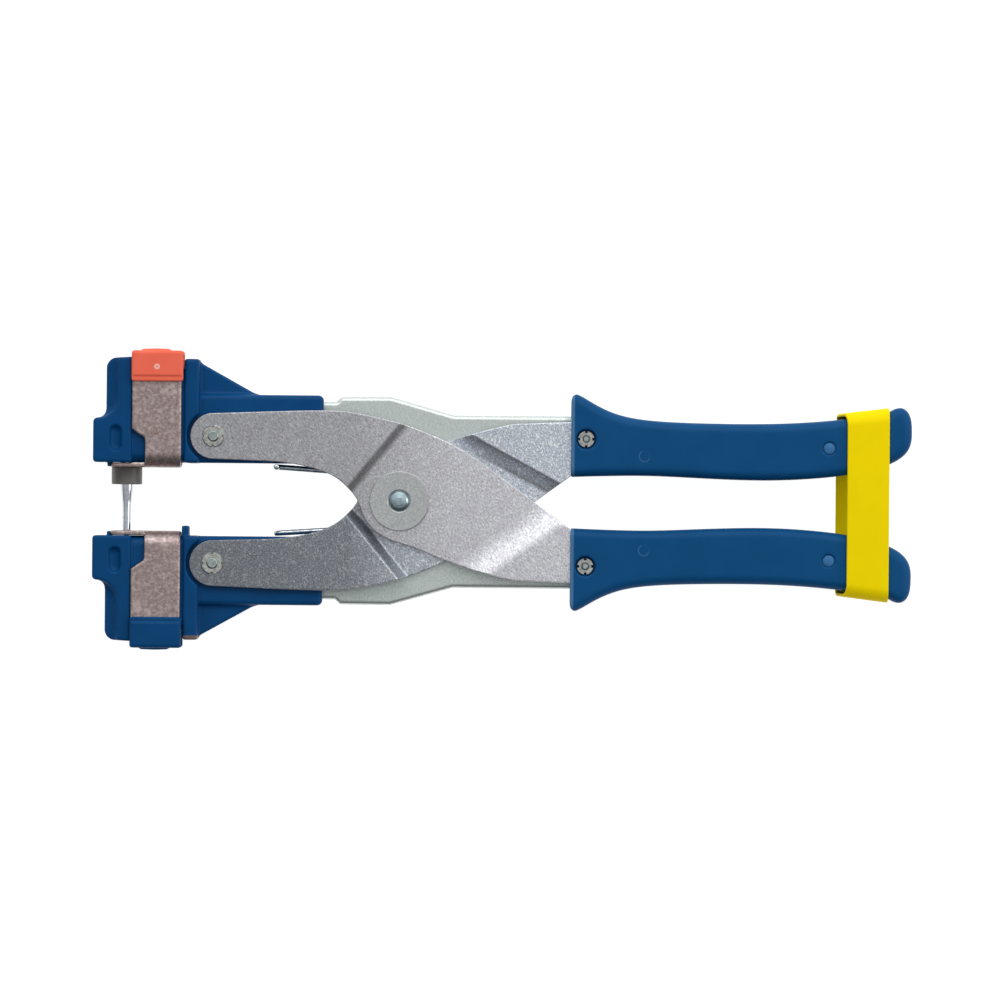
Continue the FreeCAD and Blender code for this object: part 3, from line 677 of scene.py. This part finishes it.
GRIP_BLUE = (0.0029, 0.0720, 0.208, 1.0)
GRIP_DEEP = (0.0022, 0.0680, 0.198, 1.0)
HEAD_BLUE = (0.0008, 0.0600, 0.190, 1.0)
HEAD_DEEP = (0.0006, 0.0540, 0.174, 1.0)


def grip_marks_and_highlight(side):
    def extra(m, base, height):
        # shallow ring left by the mould's ejector, open on one side
        cx, cy = (46.9, 15.3 * side)
        ring = m.ring(cx, cy, 1.75, 0.34)
        x, y, _ = m.xyz()
        open_side = m.remap(m.math("ADD", m.math("SUBTRACT", x, cx), m.math("SUBTRACT", y, cy)), 0.2, 1.4, 1.0, 0.15)
        ring = m.math("MULTIPLY", ring, open_side)
        base = m.mix(m.math("MULTIPLY", ring, 0.35), base, lin(70, 120, 165))
        height = m.math("SUBTRACT", height, m.math("MULTIPLY", ring, 1.6))
        # painted highlight: a band at the mouth of the grip is made lighter, standing in for the light caught on the
        # grip's end face
        end_face_highlight = m.remap(x, 23.9, 24.3, 0.55, 0.0)
        base = m.mix(end_face_highlight, base, lin(96, 140, 180))
        return base, height
    return extra


def bare_corner(m, base, height):
    """The corner of the lower head where the blue has come off."""
    x, y, _ = m.xyz()
    edge = m.noise(700.0, 3.0, 0.6)
    line = m.math("ADD", y, m.math("MULTIPLY", m.math("SUBTRACT", edge, 0.5), 0.8))
    band = m.math("MULTIPLY", m.remap(line, -44.5, -44.1, 1.0, 0.0),
                  m.math("MULTIPLY", m.remap(x, -103.6, -103.2, 0.0, 1.0), m.remap(x, -98.0, -97.6, 1.0, 0.0)))
    rim = m.math("MULTIPLY", m.remap(line, -44.15, -43.8, 1.0, 0.0), m.remap(line, -44.7, -44.3, 0.0, 1.0))
    base = m.mix(m.math("MULTIPLY", band, 0.92), base, lin(128, 108, 98))
    return base, height


def ring_mark(m, base, height):
    """A small pale ring moulded in the front of the button."""
    r = m.ring(-111.9, 43.1, 0.62, 0.42)
    base = m.mix(m.math("MULTIPLY", r, 0.75), base, lin(252, 215, 205))
    return base, m.math("ADD", height, m.math("MULTIPLY", r, 1.5))


M = {}
# the along ramps on the two lever zincs are painted light: darker at the jaw end on the left, brighter towards the
# handles on the right
M["zinc_a"] = zinc("zinc_front", lin(140, 137, 141), lin(190, 190, 193), lin(226, 228, 230), turn=38, stretch=3.0,
                   cloud=(0.93, 0.90, 0.93, 1), along=[(-95, 0.80), (-47, 0.92), (-16, 1.30), (15, 1.42)])
M["zinc_b"] = zinc("zinc_spangled", lin(112, 116, 124), lin(172, 177, 184), lin(232, 236, 240), turn=20, stretch=1.5,
                   fine=2300.0, sparkle=0.45, bump=0.25, cloud=(0.90, 0.93, 0.97, 1), contrast=0.9, along=[(-95, 0.52), (-50, 0.62), (-26, 1.25), (15, 1.5)])
M["channel"] = zinc("zinc_channel", lin(186, 192, 188), lin(206, 213, 209), lin(226, 232, 229), rough=(0.36, 0.5), turn=0,
                    stretch=2.0, sparkle=0.15, bump=0.08, cloud=(0.95, 1.0, 0.97, 1))
M["stirrup"] = zinc("plate_brown", lin(134, 118, 114), lin(168, 151, 148), lin(205, 192, 188), rough=(0.36, 0.52), turn=80,
                    stretch=1.3, fine=1000.0, sparkle=0.30, bump=0.15, cloud=(0.97, 0.93, 0.92, 1))
M["washer"] = zinc("zinc_washer", lin(168, 169, 170), lin(196, 198, 198), lin(224, 227, 226), turn=10, stretch=1.6,
                   sparkle=0.2, bump=0.08, rough=(0.25, 0.36))
M["pin"] = steel("pin_zinc", lin(196, 206, 202), lin(150, 164, 160), 0.22)
M["rivet"] = steel("rivet_zinc", lin(186, 202, 208), lin(150, 170, 178), 0.24)
M["retainer"] = steel("retainer_zinc", lin(214, 214, 208), lin(158, 158, 152), 0.24)
M["wire"] = steel("spring_wire", lin(214, 222, 226), lin(160, 168, 174), 0.18)
M["chrome"] = steel("polished_pin", lin(226, 230, 236), lin(208, 213, 220), 0.09, bump=0.02)
M["collar"] = plastic("collar_grey", lin(112, 108, 104), lin(98, 95, 92), rough=0.38, spec=0.5, scuff=0.1)
# the grip materials carry the ejector ring and a painted highlight at each grip's mouth
M["grip_up"] = plastic("grip_blue_upper", GRIP_BLUE, GRIP_DEEP, extra=grip_marks_and_highlight(1))
M["grip_low"] = plastic("grip_blue_lower", GRIP_BLUE, GRIP_DEEP, extra=grip_marks_and_highlight(-1))
M["head_up"] = plastic("head_blue_upper", HEAD_BLUE, HEAD_DEEP, rough=0.42)
M["head_low"] = plastic("head_blue_lower", HEAD_BLUE, HEAD_DEEP, rough=0.42, extra=bare_corner)
M["orange"] = plastic("button_orange", (0.955, 0.168, 0.100, 1.0), (0.925, 0.152, 0.088, 1.0), rough=0.42, scuff=0.15, extra=ring_mark)
M["cap_blue"] = plastic("button_blue", HEAD_BLUE, HEAD_DEEP, rough=0.42)
M["dowel"] = plastic("dowel_blue", lin(66, 118, 166), lin(58, 110, 158), rough=0.5)
M["strap"] = plastic("strap_yellow", (0.96, 0.735, 0.0, 1.0), (0.94, 0.71, 0.0, 1.0), rough=0.55, spec=0.05, bump=0.05, scuff=0.0)


def paint(node, mat):
    ob = NODES[node]
    ob.data.materials.clear()
    ob.data.materials.append(mat)


for n in NODES:
    if "plate" in n:
        paint(n, M["zinc_a"] if n in ("lower_handle_front_plate", "upper_handle_rear_plate") else M["zinc_b"])
    elif "channel" in n:
        paint(n, M["channel"])
    elif "stirrup" in n:
        paint(n, M["stirrup"])
    elif "washer" in n:
        paint(n, M["washer"])
    elif "retainers" in n:
        paint(n, M["retainer"])
    elif n == "pivot_rivet":
        paint(n, M["rivet"])
    elif n.endswith("grip_pin"):
        paint(n, M["dowel"])
    elif n == "applicator_pin":
        paint(n, M["chrome"])
    elif n.endswith("_pin") or "bush" in n or n == "anvil_insert":
        paint(n, M["pin"])
    elif "spring" in n:
        paint(n, M["wire"])
    elif n == "ejector_collar":
        paint(n, M["collar"])
    elif n == "upper_button":
        paint(n, M["orange"])
    elif n == "lower_button":
        paint(n, M["cap_blue"])
    elif n == "upper_head":
        paint(n, M["head_up"])
    elif n == "lower_head":
        paint(n, M["head_low"])
    elif n == "upper_grip":
        paint(n, M["grip_up"])
    elif n == "lower_grip":
        paint(n, M["grip_low"])
    elif n == "handle_strap":
        paint(n, M["strap"])
    else:
        print("no material for", n)


# =====================================================================================
# lever plates
# =====================================================================================
LEVER_TOP = [(-81.2, 28.6), (-67.9, 29.1), (-57.9, 29.3), (-51.5, 29.1), (-46.2, 28.4), (-38.4, 26.8),
             (-31.5, 25.0), (-24.4, 22.4), (-16.6, 19.0), (-10.1, 15.4), (-3.1, 10.6), (4.3, 5.1)]
LEVER_TOP_END = (23.4, -8.9)
LEVER_BOTTOM = [(-84.4, 12.95), (-74.4, 12.6), (-67.7, 11.9), (-61.7, 10.7), (-57.0, 9.2), (-52.4, 6.7),
                (-49.4, 4.0), (-47.2, 1.4), (-45.8, -1.2), (-44.8, -3.9), (-43.3, -6.8), (-41.1, -9.3),
                (-37.8, -11.6), (-33.4, -13.4), (-28.7, -14.8), (-22.5, -17.2), (-16.4, -19.6), (-9.5, -21.9),
                (-2.4, -23.9), (4.5, -25.4)]
LEVER_BOTTOM_END = (22.7, -26.2)
TANG_OUT = [(32.0, -25.9), (38.5, -24.9), (46.0, -23.7), (58.0, -22.8), (78.0, -22.3), (98.0, -22.7), (110.5, -23.5)]
TANG_IN = [(113.5, -13.2), (103.0, -11.7), (87.0, -10.8), (72.0, -10.9), (48.0, -11.4), (27.0, -11.3)]
LEVER_END_R = 7.45
PLATE_T = 2.0


def lever_loop():
    top0, bottom0 = (P[0], P[1] + LEVER_END_R), (P[0], P[1] - LEVER_END_R)
    return chain(
        spline([top0] + LEVER_TOP, (1, 0.03), (0.8, -0.6), step=1.0), [LEVER_TOP_END],
        spline(TANG_IN[::-1], (1, 0), (1, -0.25), step=3.0), arc3(TANG_IN[0], (115.6, -18.4), TANG_OUT[-1]),
        spline(TANG_OUT[::-1], (-1, 0.1), (-1, -0.05), step=3.0), [LEVER_BOTTOM_END],
        spline(LEVER_BOTTOM[::-1] + [bottom0], (-1, 0.2), (-1, 0.02), step=1.0),
        arc3(bottom0, (P[0] - LEVER_END_R, P[1]), top0, 40))


class Bend:
    """A step in a plate between two bend lines, with rounded bends."""

    def __init__(self, normal, low, high, z0, z1, soft0, soft1):
        n = np.array(normal, float)
        self.n = n / np.linalg.norm(n)
        self.low, self.high, self.z0, self.rise = low, high, z0, z1 - z0
        self.shift = PLATE_T * math.tan(math.atan2(self.rise, high - low) / 2)
        a, b = soft0 / 2, soft1 / 2
        t = np.linspace(low - a, high + b, 240)
        slope = np.clip((t - (low - a)) / (2 * a), 0, 1) * np.clip(((high + b) - t) / (2 * b), 0, 1)
        s = np.concatenate([[0], np.cumsum((slope[1:] + slope[:-1]) / 2)])
        self.t, self.s = t, s / s[-1]
        self.cuts = (list(np.linspace(low - a, low + a, 7)) + list(np.linspace(high - b, high + b, 6)))

    def height(self, xy, shift):
        n = xy @ self.n
        return self.z0 + self.rise * np.interp(n - shift, self.t, self.s)

    def planes(self):
        out = [c + d for c in self.cuts for d in (0, self.shift)]
        return sorted(out)


def lever(inner):
    if inner:
        bends = (Bend((-0.772, 0.635), 38.9, 41.6, 4.7, 8.8, 1.4, 1.0), Bend((0.475, -0.880), 10.85, 14.55, 4.7, 8.8, 3.0, 1.1))
    else:
        bends = (Bend((-0.774, 0.633), 39.25, 41.4, 6.9, 8.8, 1.8, 1.0), Bend((0.579, -0.815), 10.3, 17.2, 6.9, 8.8, 6.0, 2.2))
    holes = [circle(P, 3.0, 40), circle(C, 4.0, 48), circle((Q[0], -Q[1]), 2.9, 40)]
    v, f = slab(lever_loop(), holes, 0.0, PLATE_T, 0.25)
    bm = bmesh.new()
    vs = [bm.verts.new(p) for p in v]
    for q in f:
        bm.faces.new([vs[i] for i in q])
    for b in bends:
        for c in b.planes():
            bmesh.ops.bisect_plane(bm, geom=bm.verts[:] + bm.edges[:] + bm.faces[:], dist=1e-4,
                                   plane_co=(b.n[0] * c, b.n[1] * c, 0), plane_no=(b.n[0], b.n[1], 0))
    bm.verts.index_update()
    v = np.array([p.co[:] for p in bm.verts])
    f = [tuple(q.index for q in face.verts) for face in bm.faces]
    bm.free()
    k = v[:, 2] / PLATE_T
    top = np.maximum(*[b.height(v[:, :2], 0.0) for b in bends]) + PLATE_T
    low = np.maximum(*[b.height(v[:, :2], b.shift) for b in bends])
    v[:, 2] = low * (1 - k) + top * k
    return v, f


_v, _f = lever(False)
make("lower_lever_front", _v, _f, M["zinc_a"], "lower_handle", ["lower_handle_front_plate"], angle=50)
make("upper_lever_rear", mirror(_v, y=True, z=True), _f, M["zinc_a"], "upper_handle", ["upper_handle_rear_plate"], angle=50)
_v, _f = lever(True)
make("upper_lever_front", mirror(_v, y=True), _f, M["zinc_b"], "upper_handle", ["upper_handle_front_plate"], angle=50)
make("lower_lever_rear", mirror(_v, z=True), _f, M["zinc_b"], "lower_handle", ["lower_handle_rear_plate"], angle=50)


# =====================================================================================
# heads
# =====================================================================================
FACE_Y = 11.9


def nose_plan(raised):
    common = [[(-120.0, FACE_Y), (-131.6, FACE_Y)], arc3((-131.6, FACE_Y), (-132.3, FACE_Y + 0.3), (-132.6, FACE_Y + 1.0)),
              [(-132.6, 25.0)], arc3((-132.6, 25.0), (-132.2, 26.0), (-131.2, 26.4))]
    if raised:
        rest = [spline([(-131.2, 26.4), (-128.0, 27.2), (-125.6, 29.4), (-124.4, 33.4)], (1, 0.02), (0, 1)),
                [(-124.4, 46.15), (-120.0, 46.3)]]
    else:
        rest = [spline([(-131.2, 26.4), (-129.6, 26.9), (-128.7, 28.0), (-128.4, 29.8)], (1, 0.05), (0, 1)),
                [(-128.4, 42.6)], arc3((-128.4, 42.6), (-127.4, 45.0), (-125.0, 46.0)), [(-120.0, 46.3)]]
    return chain(*common, *rest)


def radial(f, c):
    return np.sqrt((f.x - c[0]) ** 2 + (f.y - c[1]) ** 2)


def head(lower):
    f = Field((-133.0, 8.3, -11.7), (-57.4, 46.6, 11.7), 0.32)
    x, y, z = f.x, f.y, f.z
    az = np.abs(z)
    ledge = f.poly(nose_plan(False))
    wall = f.poly(nose_plan(True))
    t = np.clip(az - 8.7, 0, 2.3)
    cove = 2.3 - np.sqrt(np.maximum(2.3 ** 2 - (2.3 - t) ** 2, 0))
    cove = np.where(az < 8.7, 2.3, cove)
    body = cut(ledge, az - 8.7, 0.8)
    body = either(body, both(cut(wall - cove, az - 11.5, 0.6), cut(ledge, az - 11.5, 0.8)))
    neck = both(box2(y, z, FACE_Y, 42.6, -10.4, 10.4, 3.4), np.abs(x + 111.9) - 9.2)
    body = either(body, neck)
    shoulder = cut(box2(x, y, -103.0, -98.1, FACE_Y, 45.7, 0.9), az - 11.5, 1.0)
    arm = cut(box2(x, y, -102.5, -57.7, FACE_Y, 34.2, 1.6), az - 8.6, 1.5)
    web = cut(f.poly([(-102.5, 29.0), (-79.3, 29.0), (-79.3, 34.2), (-98.7, 45.0), (-102.5, 45.2)]), az - 6.4, 0.8)
    body = either(body, merge(merge(shoulder, arm, 0.6), web, 1.2))
    tab = cut(box2(x, z, -127.9, -126.9, -9.5, 9.5, 0.2), np.abs(y - 11.6) - 1.1, 0.2)
    body = either(body, tab)
    if lower:
        toe = cut(box2(x, y, -103.5, -101.2, 8.6, 14.0, 0.45), az - 9.6, 0.4)
        body = either(body, toe)
    body = carve(body, both(radial(f, P) - 8.6, 8.6 - az), 0.35)
    # the bowl in the nose
    d = np.sqrt((x + 125.3) ** 2 + np.maximum(np.abs(y - 19.8) - 2.15, 0) ** 2 + (az - 12.01) ** 2) - 2.11
    body = carve(body, d, 0.25)
    v, q = f.mesh(body)
    return v, q


_v, _f = head(False)
make("upper_head_moulding", _v, _f, M["head_up"], "upper_jaw", ["upper_head"], smooth=2, ratio=0.30, angle=42)
_v, _f = head(True)
make("lower_head_moulding", mirror(_v, y=True), _f, M["head_low"], "lower_jaw", ["lower_head"], smooth=2, ratio=0.30, angle=42)


# =====================================================================================
# grips
# =====================================================================================
GRIP_LOOP = [(27.0, 34.25), (31.5, 31.65), (38.8, 28.65), (46.8, 27.15), (57.8, 26.4), (71.5, 26.1), (91.1, 26.3),
             (101.0, 26.85), (111.1, 27.8), (118.5, 28.65), (123.5, 29.3), (126.2, 30.15), (128.3, 31.35),
             (130.6, 31.7), (132.6, 30.3), (133.65, 27.6), (133.9, 24.4), (133.75, 20.9), (132.8, 18.1),
             (130.6, 15.6), (126.6, 13.3), (119.5, 11.1), (111.9, 9.6), (103.0, 8.55), (86.7, 7.75), (73.4, 7.95),
             (60.0, 8.5), (47.8, 8.9), (35.0, 8.75), (27.0, 8.5), (20.0, 8.3), (13.0, 9.4), (8.2, 14.0), (6.5, 22.0),
             (7.2, 31.0), (10.5, 36.2), (16.0, 38.0), (22.0, 36.8)]


def grip():
    f = Field((22.9, 7.4, -12.6), (134.0, 35.4, 12.6), 0.4)
    x, y, z = f.x, f.y, f.z
    az = np.abs(z)
    body = cut(f.poly(closed_spline(GRIP_LOOP)), az - 12.6, 3.0)
    body = cut(body, 23.0 - x, 0.5)
    corner = chain([(23.0, 33.4), (21.0, 40.0), (27.4, 40.0), (26.2, 34.75)], arc3((26.2, 34.75), (24.0, 35.1), (23.0, 33.4))[:-1])
    body = carve(body, f.poly(corner), 0.4)
    cave = f.poly([(20.0, 10.5), (51.8, 10.5), (51.8, 23.6), (40.0, 25.6), (27.5, 30.6), (20.0, 30.6)])
    body = carve(body, both(cave, az - 4.9), 0.4)
    body = carve(body, both(radial(f, Q) - 3.25, 10.8 - az), 0.3)
    body = carve(body, both(radial(f, (107.0, 18.3)) - 2.05, 11.9 - az), 0.2)
    return f.mesh(body)


_v, _f = grip()
make("upper_grip_moulding", _v, _f, M["grip_up"], "upper_handle", ["upper_grip"], smooth=2, ratio=0.28, angle=42)
make("lower_grip_moulding", mirror(_v, y=True), _f, M["grip_low"], "lower_handle", ["lower_grip"], smooth=2, ratio=0.28, angle=42)


def dowel(y):
    v, f = lathe_z((107.0, y), [(1e-3, -12.45), (1.5, -12.45), (1.9, -12.15), (1.95, -11.8), (1.95, 11.8), (1.9, 12.15),
                                (1.5, 12.45), (1e-3, 12.45)], 48)
    return v, f


for _n, _y, _b in (("upper", 18.3, "upper_handle"), ("lower", -18.3, "lower_handle")):
    _v, _f = dowel(_y)
    make(_n + "_grip_plug", _v, _f, M["dowel"], _b, [_n + "_grip_pin"], angle=50)


# =====================================================================================
# stirrups and caps
# =====================================================================================
def stirrup(hole):
    f = Field((-126.8, 10.3, -12.2), (-103.8, 46.9, 12.2), 0.26)
    x, y, z = f.x, f.y, f.z
    u = both(box2(y, z, 10.3, 70.0, -12.2, 12.2, 4.8), -box2(y, z, 11.8, 74.0, -10.6, 10.6, 3.3))
    u = both(u, y - 46.9)
    plan = f.poly([(-115.7, 4.0), (-115.7, 19.2), (-115.9, 19.9), (-120.0, 22.7), (-120.0, 60.0), (-90.0, 60.0), (-90.0, 4.0)])
    body = cut(u, plan, 0.5)
    body = cut(body, (x + 103.8) * 0.62, 0.75)
    foot = cut(box2(x, z, -126.8, -112.0, -10.2, 10.2, 1.4), np.abs(y - 11.05) - 0.75, 0.3)
    foot = both(foot, either(x + 115.7, np.abs(z) - 7.4))
    body = either(body, foot)
    body = carve(body, np.sqrt((x + 121.7) ** 2 + z ** 2) - hole)
    return f.mesh(body)


def cap():
    f = Field((-120.2, 38.3, -13.8), (-103.35, 49.05, 13.8), 0.26)
    x, y, z = f.x, f.y, f.z
    az = np.abs(z)
    plan = box2(x, y, -120.2, -103.35, 38.3, 48.4, 0.9)
    pad = both(cut(plan, az - 13.8, 1.1), 10.6 - az)
    low = both(y - 40.2, az - 13.35)
    pad = both(pad, either(40.2 - y, az - 13.4))
    # the roof is narrower than its two pads, and stands a little prouder
    roof = cut(f.poly([(-117.6, 44.0), (-107.0, 44.0), (-107.0, 47.9), (-107.9, 48.9), (-112.0, 49.05), (-116.6, 48.9), (-117.6, 48.0)]),
               az - 12.0, 0.5)
    side = cut(box2(x, y, -119.6, -103.9, 45.0, 48.1, 0.5), az - 12.5, 0.3)
    body = either(pad, roof, side)
    body = carve(body, both(az - 12.2, y - 46.9))
    return f.mesh(body)


for _n, _h, _s, _c, _o in (("upper", 2.3, 1, "orange", 1), ("lower", 2.5, -1, "cap_blue", -1)):
    _v, _f = stirrup(_h)
    make(_n + "_clamp_stirrup", mirror(_v, y=_s < 0), _f, M["stirrup"], _n + "_clamp", [_n + "_stirrup"],
         smooth=2, ratio=0.30, angle=42)
    _v, _f = cap()
    make(_n + "_button_cap", mirror(_v, y=_s < 0), _f, M[_c], _n + "_clamp", [_n + "_button"],
         smooth=2, ratio=0.30, angle=42)


# =====================================================================================
# needle and collar
# =====================================================================================
PIN_X = -121.7
_v, _f = lathe_y(PIN_X, [(1e-3, 25.0), (3.0, 25.0), (3.0, 11.9), (2.125, 11.9), (2.125, 6.5), (2.11, 4.9), (2.04, 3.7),
                         (1.93, 2.5), (1.80, 1.3), (1.66, 0.1), (1.54, -1.0), (1.45, -2.2), (1.41, -3.4), (1.4, -5.0),
                         (1.4, -10.2), (1.2, -11.0), (0.95, -11.6), (0.6, -12.2), (0.3, -12.5), (1e-3, -12.6)], 64)
make("tag_needle", _v, _f, M["chrome"], "upper_jaw", ["applicator_pin"], angle=35)

_v, _f = lathe_y(PIN_X, [(2.32, 10.3), (4.8, 10.3), (5.0, 10.1), (5.0, 5.15), (4.92, 4.85), (4.7, 4.7), (2.6, 4.7), (2.4, 4.8),
                         (2.32, 5.0), (2.32, 10.3)], 72)
make("needle_collar", _v, _f[:-2] if len(_f[-1]) > 8 else _f, M["collar"], "upper_clamp", ["ejector_collar"], angle=35)


# =====================================================================================
# springs
# =====================================================================================
def coil_path():
    n = 4 * 40
    t = np.arange(n + 1) / n
    a0 = math.radians(90 - 3.8)
    ang = a0 + t * 4 * 2 * math.pi - 2 * math.pi * 0.5 * 0
    z = (t - 0.5) * 4 * 1.95 * 0.75
    return np.column_stack([C[0] + 8.1 * np.cos(ang), C[1] + 8.1 * np.sin(ang), z])


_v, _f = tube(coil_path(), 0.9, 12)
make("return_coil", _v, _f, M["wire"], "lower_handle", ["return_spring"], angle=60)


def leg_path():
    tilt = math.radians(3.8)
    n = np.array([math.sin(tilt), math.cos(tilt), 0])
    d = np.array([-math.cos(tilt), math.sin(tilt), 0])
    z = 2.925
    a = np.array([C[0], C[1], z]) + n * 8.1
    b = a + d * 38.9
    pts = [a + d * s for s in np.linspace(0, 38.9, 30)]
    c = b + np.array([0, 0, 1.8])
    for k in range(1, 9):
        w = k / 8 * math.pi / 2
        pts.append(c + d * 1.8 * math.sin(w) - np.array([0, 0, 1.8 * math.cos(w)]))
    e = pts[-1]
    for s in np.linspace(0, 1, 8)[1:]:
        pts.append(np.array([e[0], e[1], e[2] + (9.9 - e[2]) * s]))
    return np.array(pts)


_v, _f = tube(leg_path(), 0.9, 14)
_o = make("upper_spring_leg", _v, _f, M["wire"], None, angle=60)
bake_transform(_o)
_o = make("lower_spring_leg", mirror(_v, y=True, z=True), _f, M["wire"], None, angle=60)
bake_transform(_o)


def clamp_coil(s):
    turns = 8.5
    n = int(turns * 28)
    t = np.arange(n + 1) / n
    y0, y1 = 28.5, 46.4
    # closed first and last turns
    e = np.interp(t, [0, 1 / turns, 1 - 1 / turns, 1], [0, 0.055, 0.945, 1])
    y = y0 + (y1 - y0) * e
    a = t * turns * 2 * math.pi
    return np.column_stack([-111.9 + 2.35 * np.cos(a), s * y, 2.35 * np.sin(a)])


for _n, _s in (("upper", 1), ("lower", -1)):
    _v, _f = tube(clamp_coil(_s), 0.45, 8)
    _o = make(_n + "_clamp_coil", _v, _f, M["wire"], _n + "_jaw", [_n + "_clamp_spring"], angle=60)
    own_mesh(_o)


# =====================================================================================
# strap
# =====================================================================================
def strap():
    half_y, half_z, r, t = 30.0, 13.8, 4.4, 1.1
    pts = []
    # round the loop from the front, y = 0, anticlockwise seen along +X
    for y in np.linspace(0, half_y - r, 16)[:-1]:
        pts.append((y, half_z, 0.0, 1.0))
    for k in range(15):
        a = math.pi / 2 * (1 - k / 14)
        pts.append((half_y - r + r * math.cos(a), half_z - r + r * math.sin(a), math.cos(a), math.sin(a)))
    for z in np.linspace(half_z - r, 0, 8)[1:]:
        pts.append((half_y, z, 1.0, 0.0))
    quarter = np.array(pts)
    # the lower quarter is the upper one mirrored top to bottom
    low = quarter[::-1][1:].copy() * np.array([1, -1, 1, -1])
    right = np.concatenate([quarter, low])
    left = right[::-1][1:-1].copy() * np.array([-1, 1, -1, 1])
    loop = np.concatenate([right, left])
    rings = []
    for y, z, ny, nz in loop:
        s = (z + half_z) / (2 * half_z)              # 0 at the back, 1 at the front
        x0 = np.interp(s, [0, 0.5, 0.85, 1], [109.7, 110.3, 111.6, 112.9])
        x1 = np.interp(s, [0, 0.5, 0.85, 1], [123.4, 125.6, 126.4, 126.6])
        k = (np.array([x0, x1]) - 112.6) * 0.0041
        ring = []
        e = 0.38
        for xx, d in ((x0 + e, 0), (x0 + 0.1, e * 0.55), (x0, e * 1.3), (x0, t - e), (x0 + 0.12, t - 0.1), (x0 + e, t),
                      ((x0 + x1) / 2, t), (x1 - e, t), (x1 - 0.12, t - 0.1), (x1, t - e), (x1, e * 1.3), (x1 - 0.1, e * 0.55),
                      (x1 - e, 0), (x0 * 0.25 + x1 * 0.75, 0), ((x0 + x1) / 2, 0), (x0 * 0.75 + x1 * 0.25, 0)):
            g = 1 + (xx - 112.6) * 0.0041
            ring.append((xx, (y - ny * d) * g, z - nz * d))
        rings.append(np.array(ring))
    n, m = len(rings[0]), len(rings)
    v = np.concatenate(rings)
    f = []
    for a in range(m):
        b = (a + 1) % m
        for i in range(n):
            j = (i + 1) % n
            f.append((a * n + i, a * n + j, b * n + j, b * n + i))
    return v, f


_v, _f = strap()
_o = make("rubber_strap", _v, _f, M["strap"], None, ["handle_strap"], angle=45)
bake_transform(_o)


# =====================================================================================
# floor, light and camera
# =====================================================================================
def stage():
    bpy.ops.mesh.primitive_plane_add(size=6.0, location=(0, 0, -0.0002))
    floor = bpy.context.object
    floor.name = "studio_floor"
    m = bpy.data.materials.new("floor_white")
    m.use_nodes = True
    b = m.node_tree.nodes["Principled BSDF"]
    b.inputs["Base Color"].default_value = (0.25, 0.25, 0.25, 1)
    b.inputs["Roughness"].default_value = 0.9
    b.inputs["Specular IOR Level"].default_value = 0.0
    b.inputs["Emission Color"].default_value = (1, 1, 1, 1)
    b.inputs["Emission Strength"].default_value = 0.95
    floor.data.materials.append(m)

    world = bpy.data.worlds.new("studio")
    scene.world = world
    world.use_nodes = True
    t = world.node_tree
    t.nodes.clear()
    out = t.nodes.new("ShaderNodeOutputWorld")
    bg = t.nodes.new("ShaderNodeBackground")
    co = t.nodes.new("ShaderNodeTexCoord")
    dot = t.nodes.new("ShaderNodeVectorMath")
    dot.operation = "DOT_PRODUCT"
    dot.inputs[1].default_value = WORLD_DIR
    ramp = t.nodes.new("ShaderNodeValToRGB")
    ramp.color_ramp.interpolation = "EASE"
    e = ramp.color_ramp.elements
    while len(e) < len(WORLD_RAMP):
        e.new(0.5)
    for el, (pos, v) in zip(e, WORLD_RAMP):
        el.position = pos
        el.color = (v * 0.985, v, v * 1.02, 1)
    m = t.nodes.new("ShaderNodeMapRange")
    m.inputs["From Min"].default_value = -1
    m.inputs["From Max"].default_value = 1
    t.links.new(co.outputs["Generated"], dot.inputs[0])
    t.links.new(dot.outputs["Value"], m.inputs["Value"])
    t.links.new(m.outputs[0], ramp.inputs[0])
    t.links.new(ramp.outputs[0], bg.inputs[0])
    bg.inputs[1].default_value = WORLD_STRENGTH
    t.links.new(bg.outputs[0], out.inputs[0])

    for name, loc, size, radiance, tint in LIGHTS:
        d = bpy.data.lights.new(name, "AREA")
        d.shape = "RECTANGLE"
        d.size, d.size_y = size
        d.energy = radiance * math.pi * size[0] * size[1]
        d.color = tint
        o = bpy.data.objects.new(name, d)
        scene.collection.objects.link(o)
        o.location = loc
        o.rotation_mode = "QUATERNION"
        o.rotation_quaternion = Vector(loc).to_track_quat("Z", "Y")

    cam = bpy.data.cameras.new("camera")
    cam.lens, cam.sensor_width = 552.0, 36.0
    cam.clip_start, cam.clip_end = 0.01, 20.0
    o = bpy.data.objects.new("camera", cam)
    scene.collection.objects.link(o)
    o.location = (SX * MM, 0.00066, Z0 * MM + 5.0)
    o.rotation_euler = (0, 0, math.radians(0.5))
    scene.camera = o
    scene.view_settings.view_transform = "Standard"
    scene.view_settings.look = "None"
    scene.view_settings.exposure = 0.0
    scene.view_settings.gamma = 1.0


WORLD_DIR = (0.05, 0.80, 0.35)
WORLD_RAMP = [(0.0, 0.04), (0.35, 0.10), (0.6, 0.40), (0.8, 0.75), (1.0, 1.0)]
WORLD_STRENGTH = 1.15
LIGHTS = [
    ("soft_top", (0.0, 0.95, 0.95), (1.3, 0.8), 1.7, (1.0, 1.0, 1.0)),
    ("soft_right", (1.1, 0.1, 0.75), (0.7, 0.9), 1.6, (1.0, 0.99, 0.97)),
]
stage()
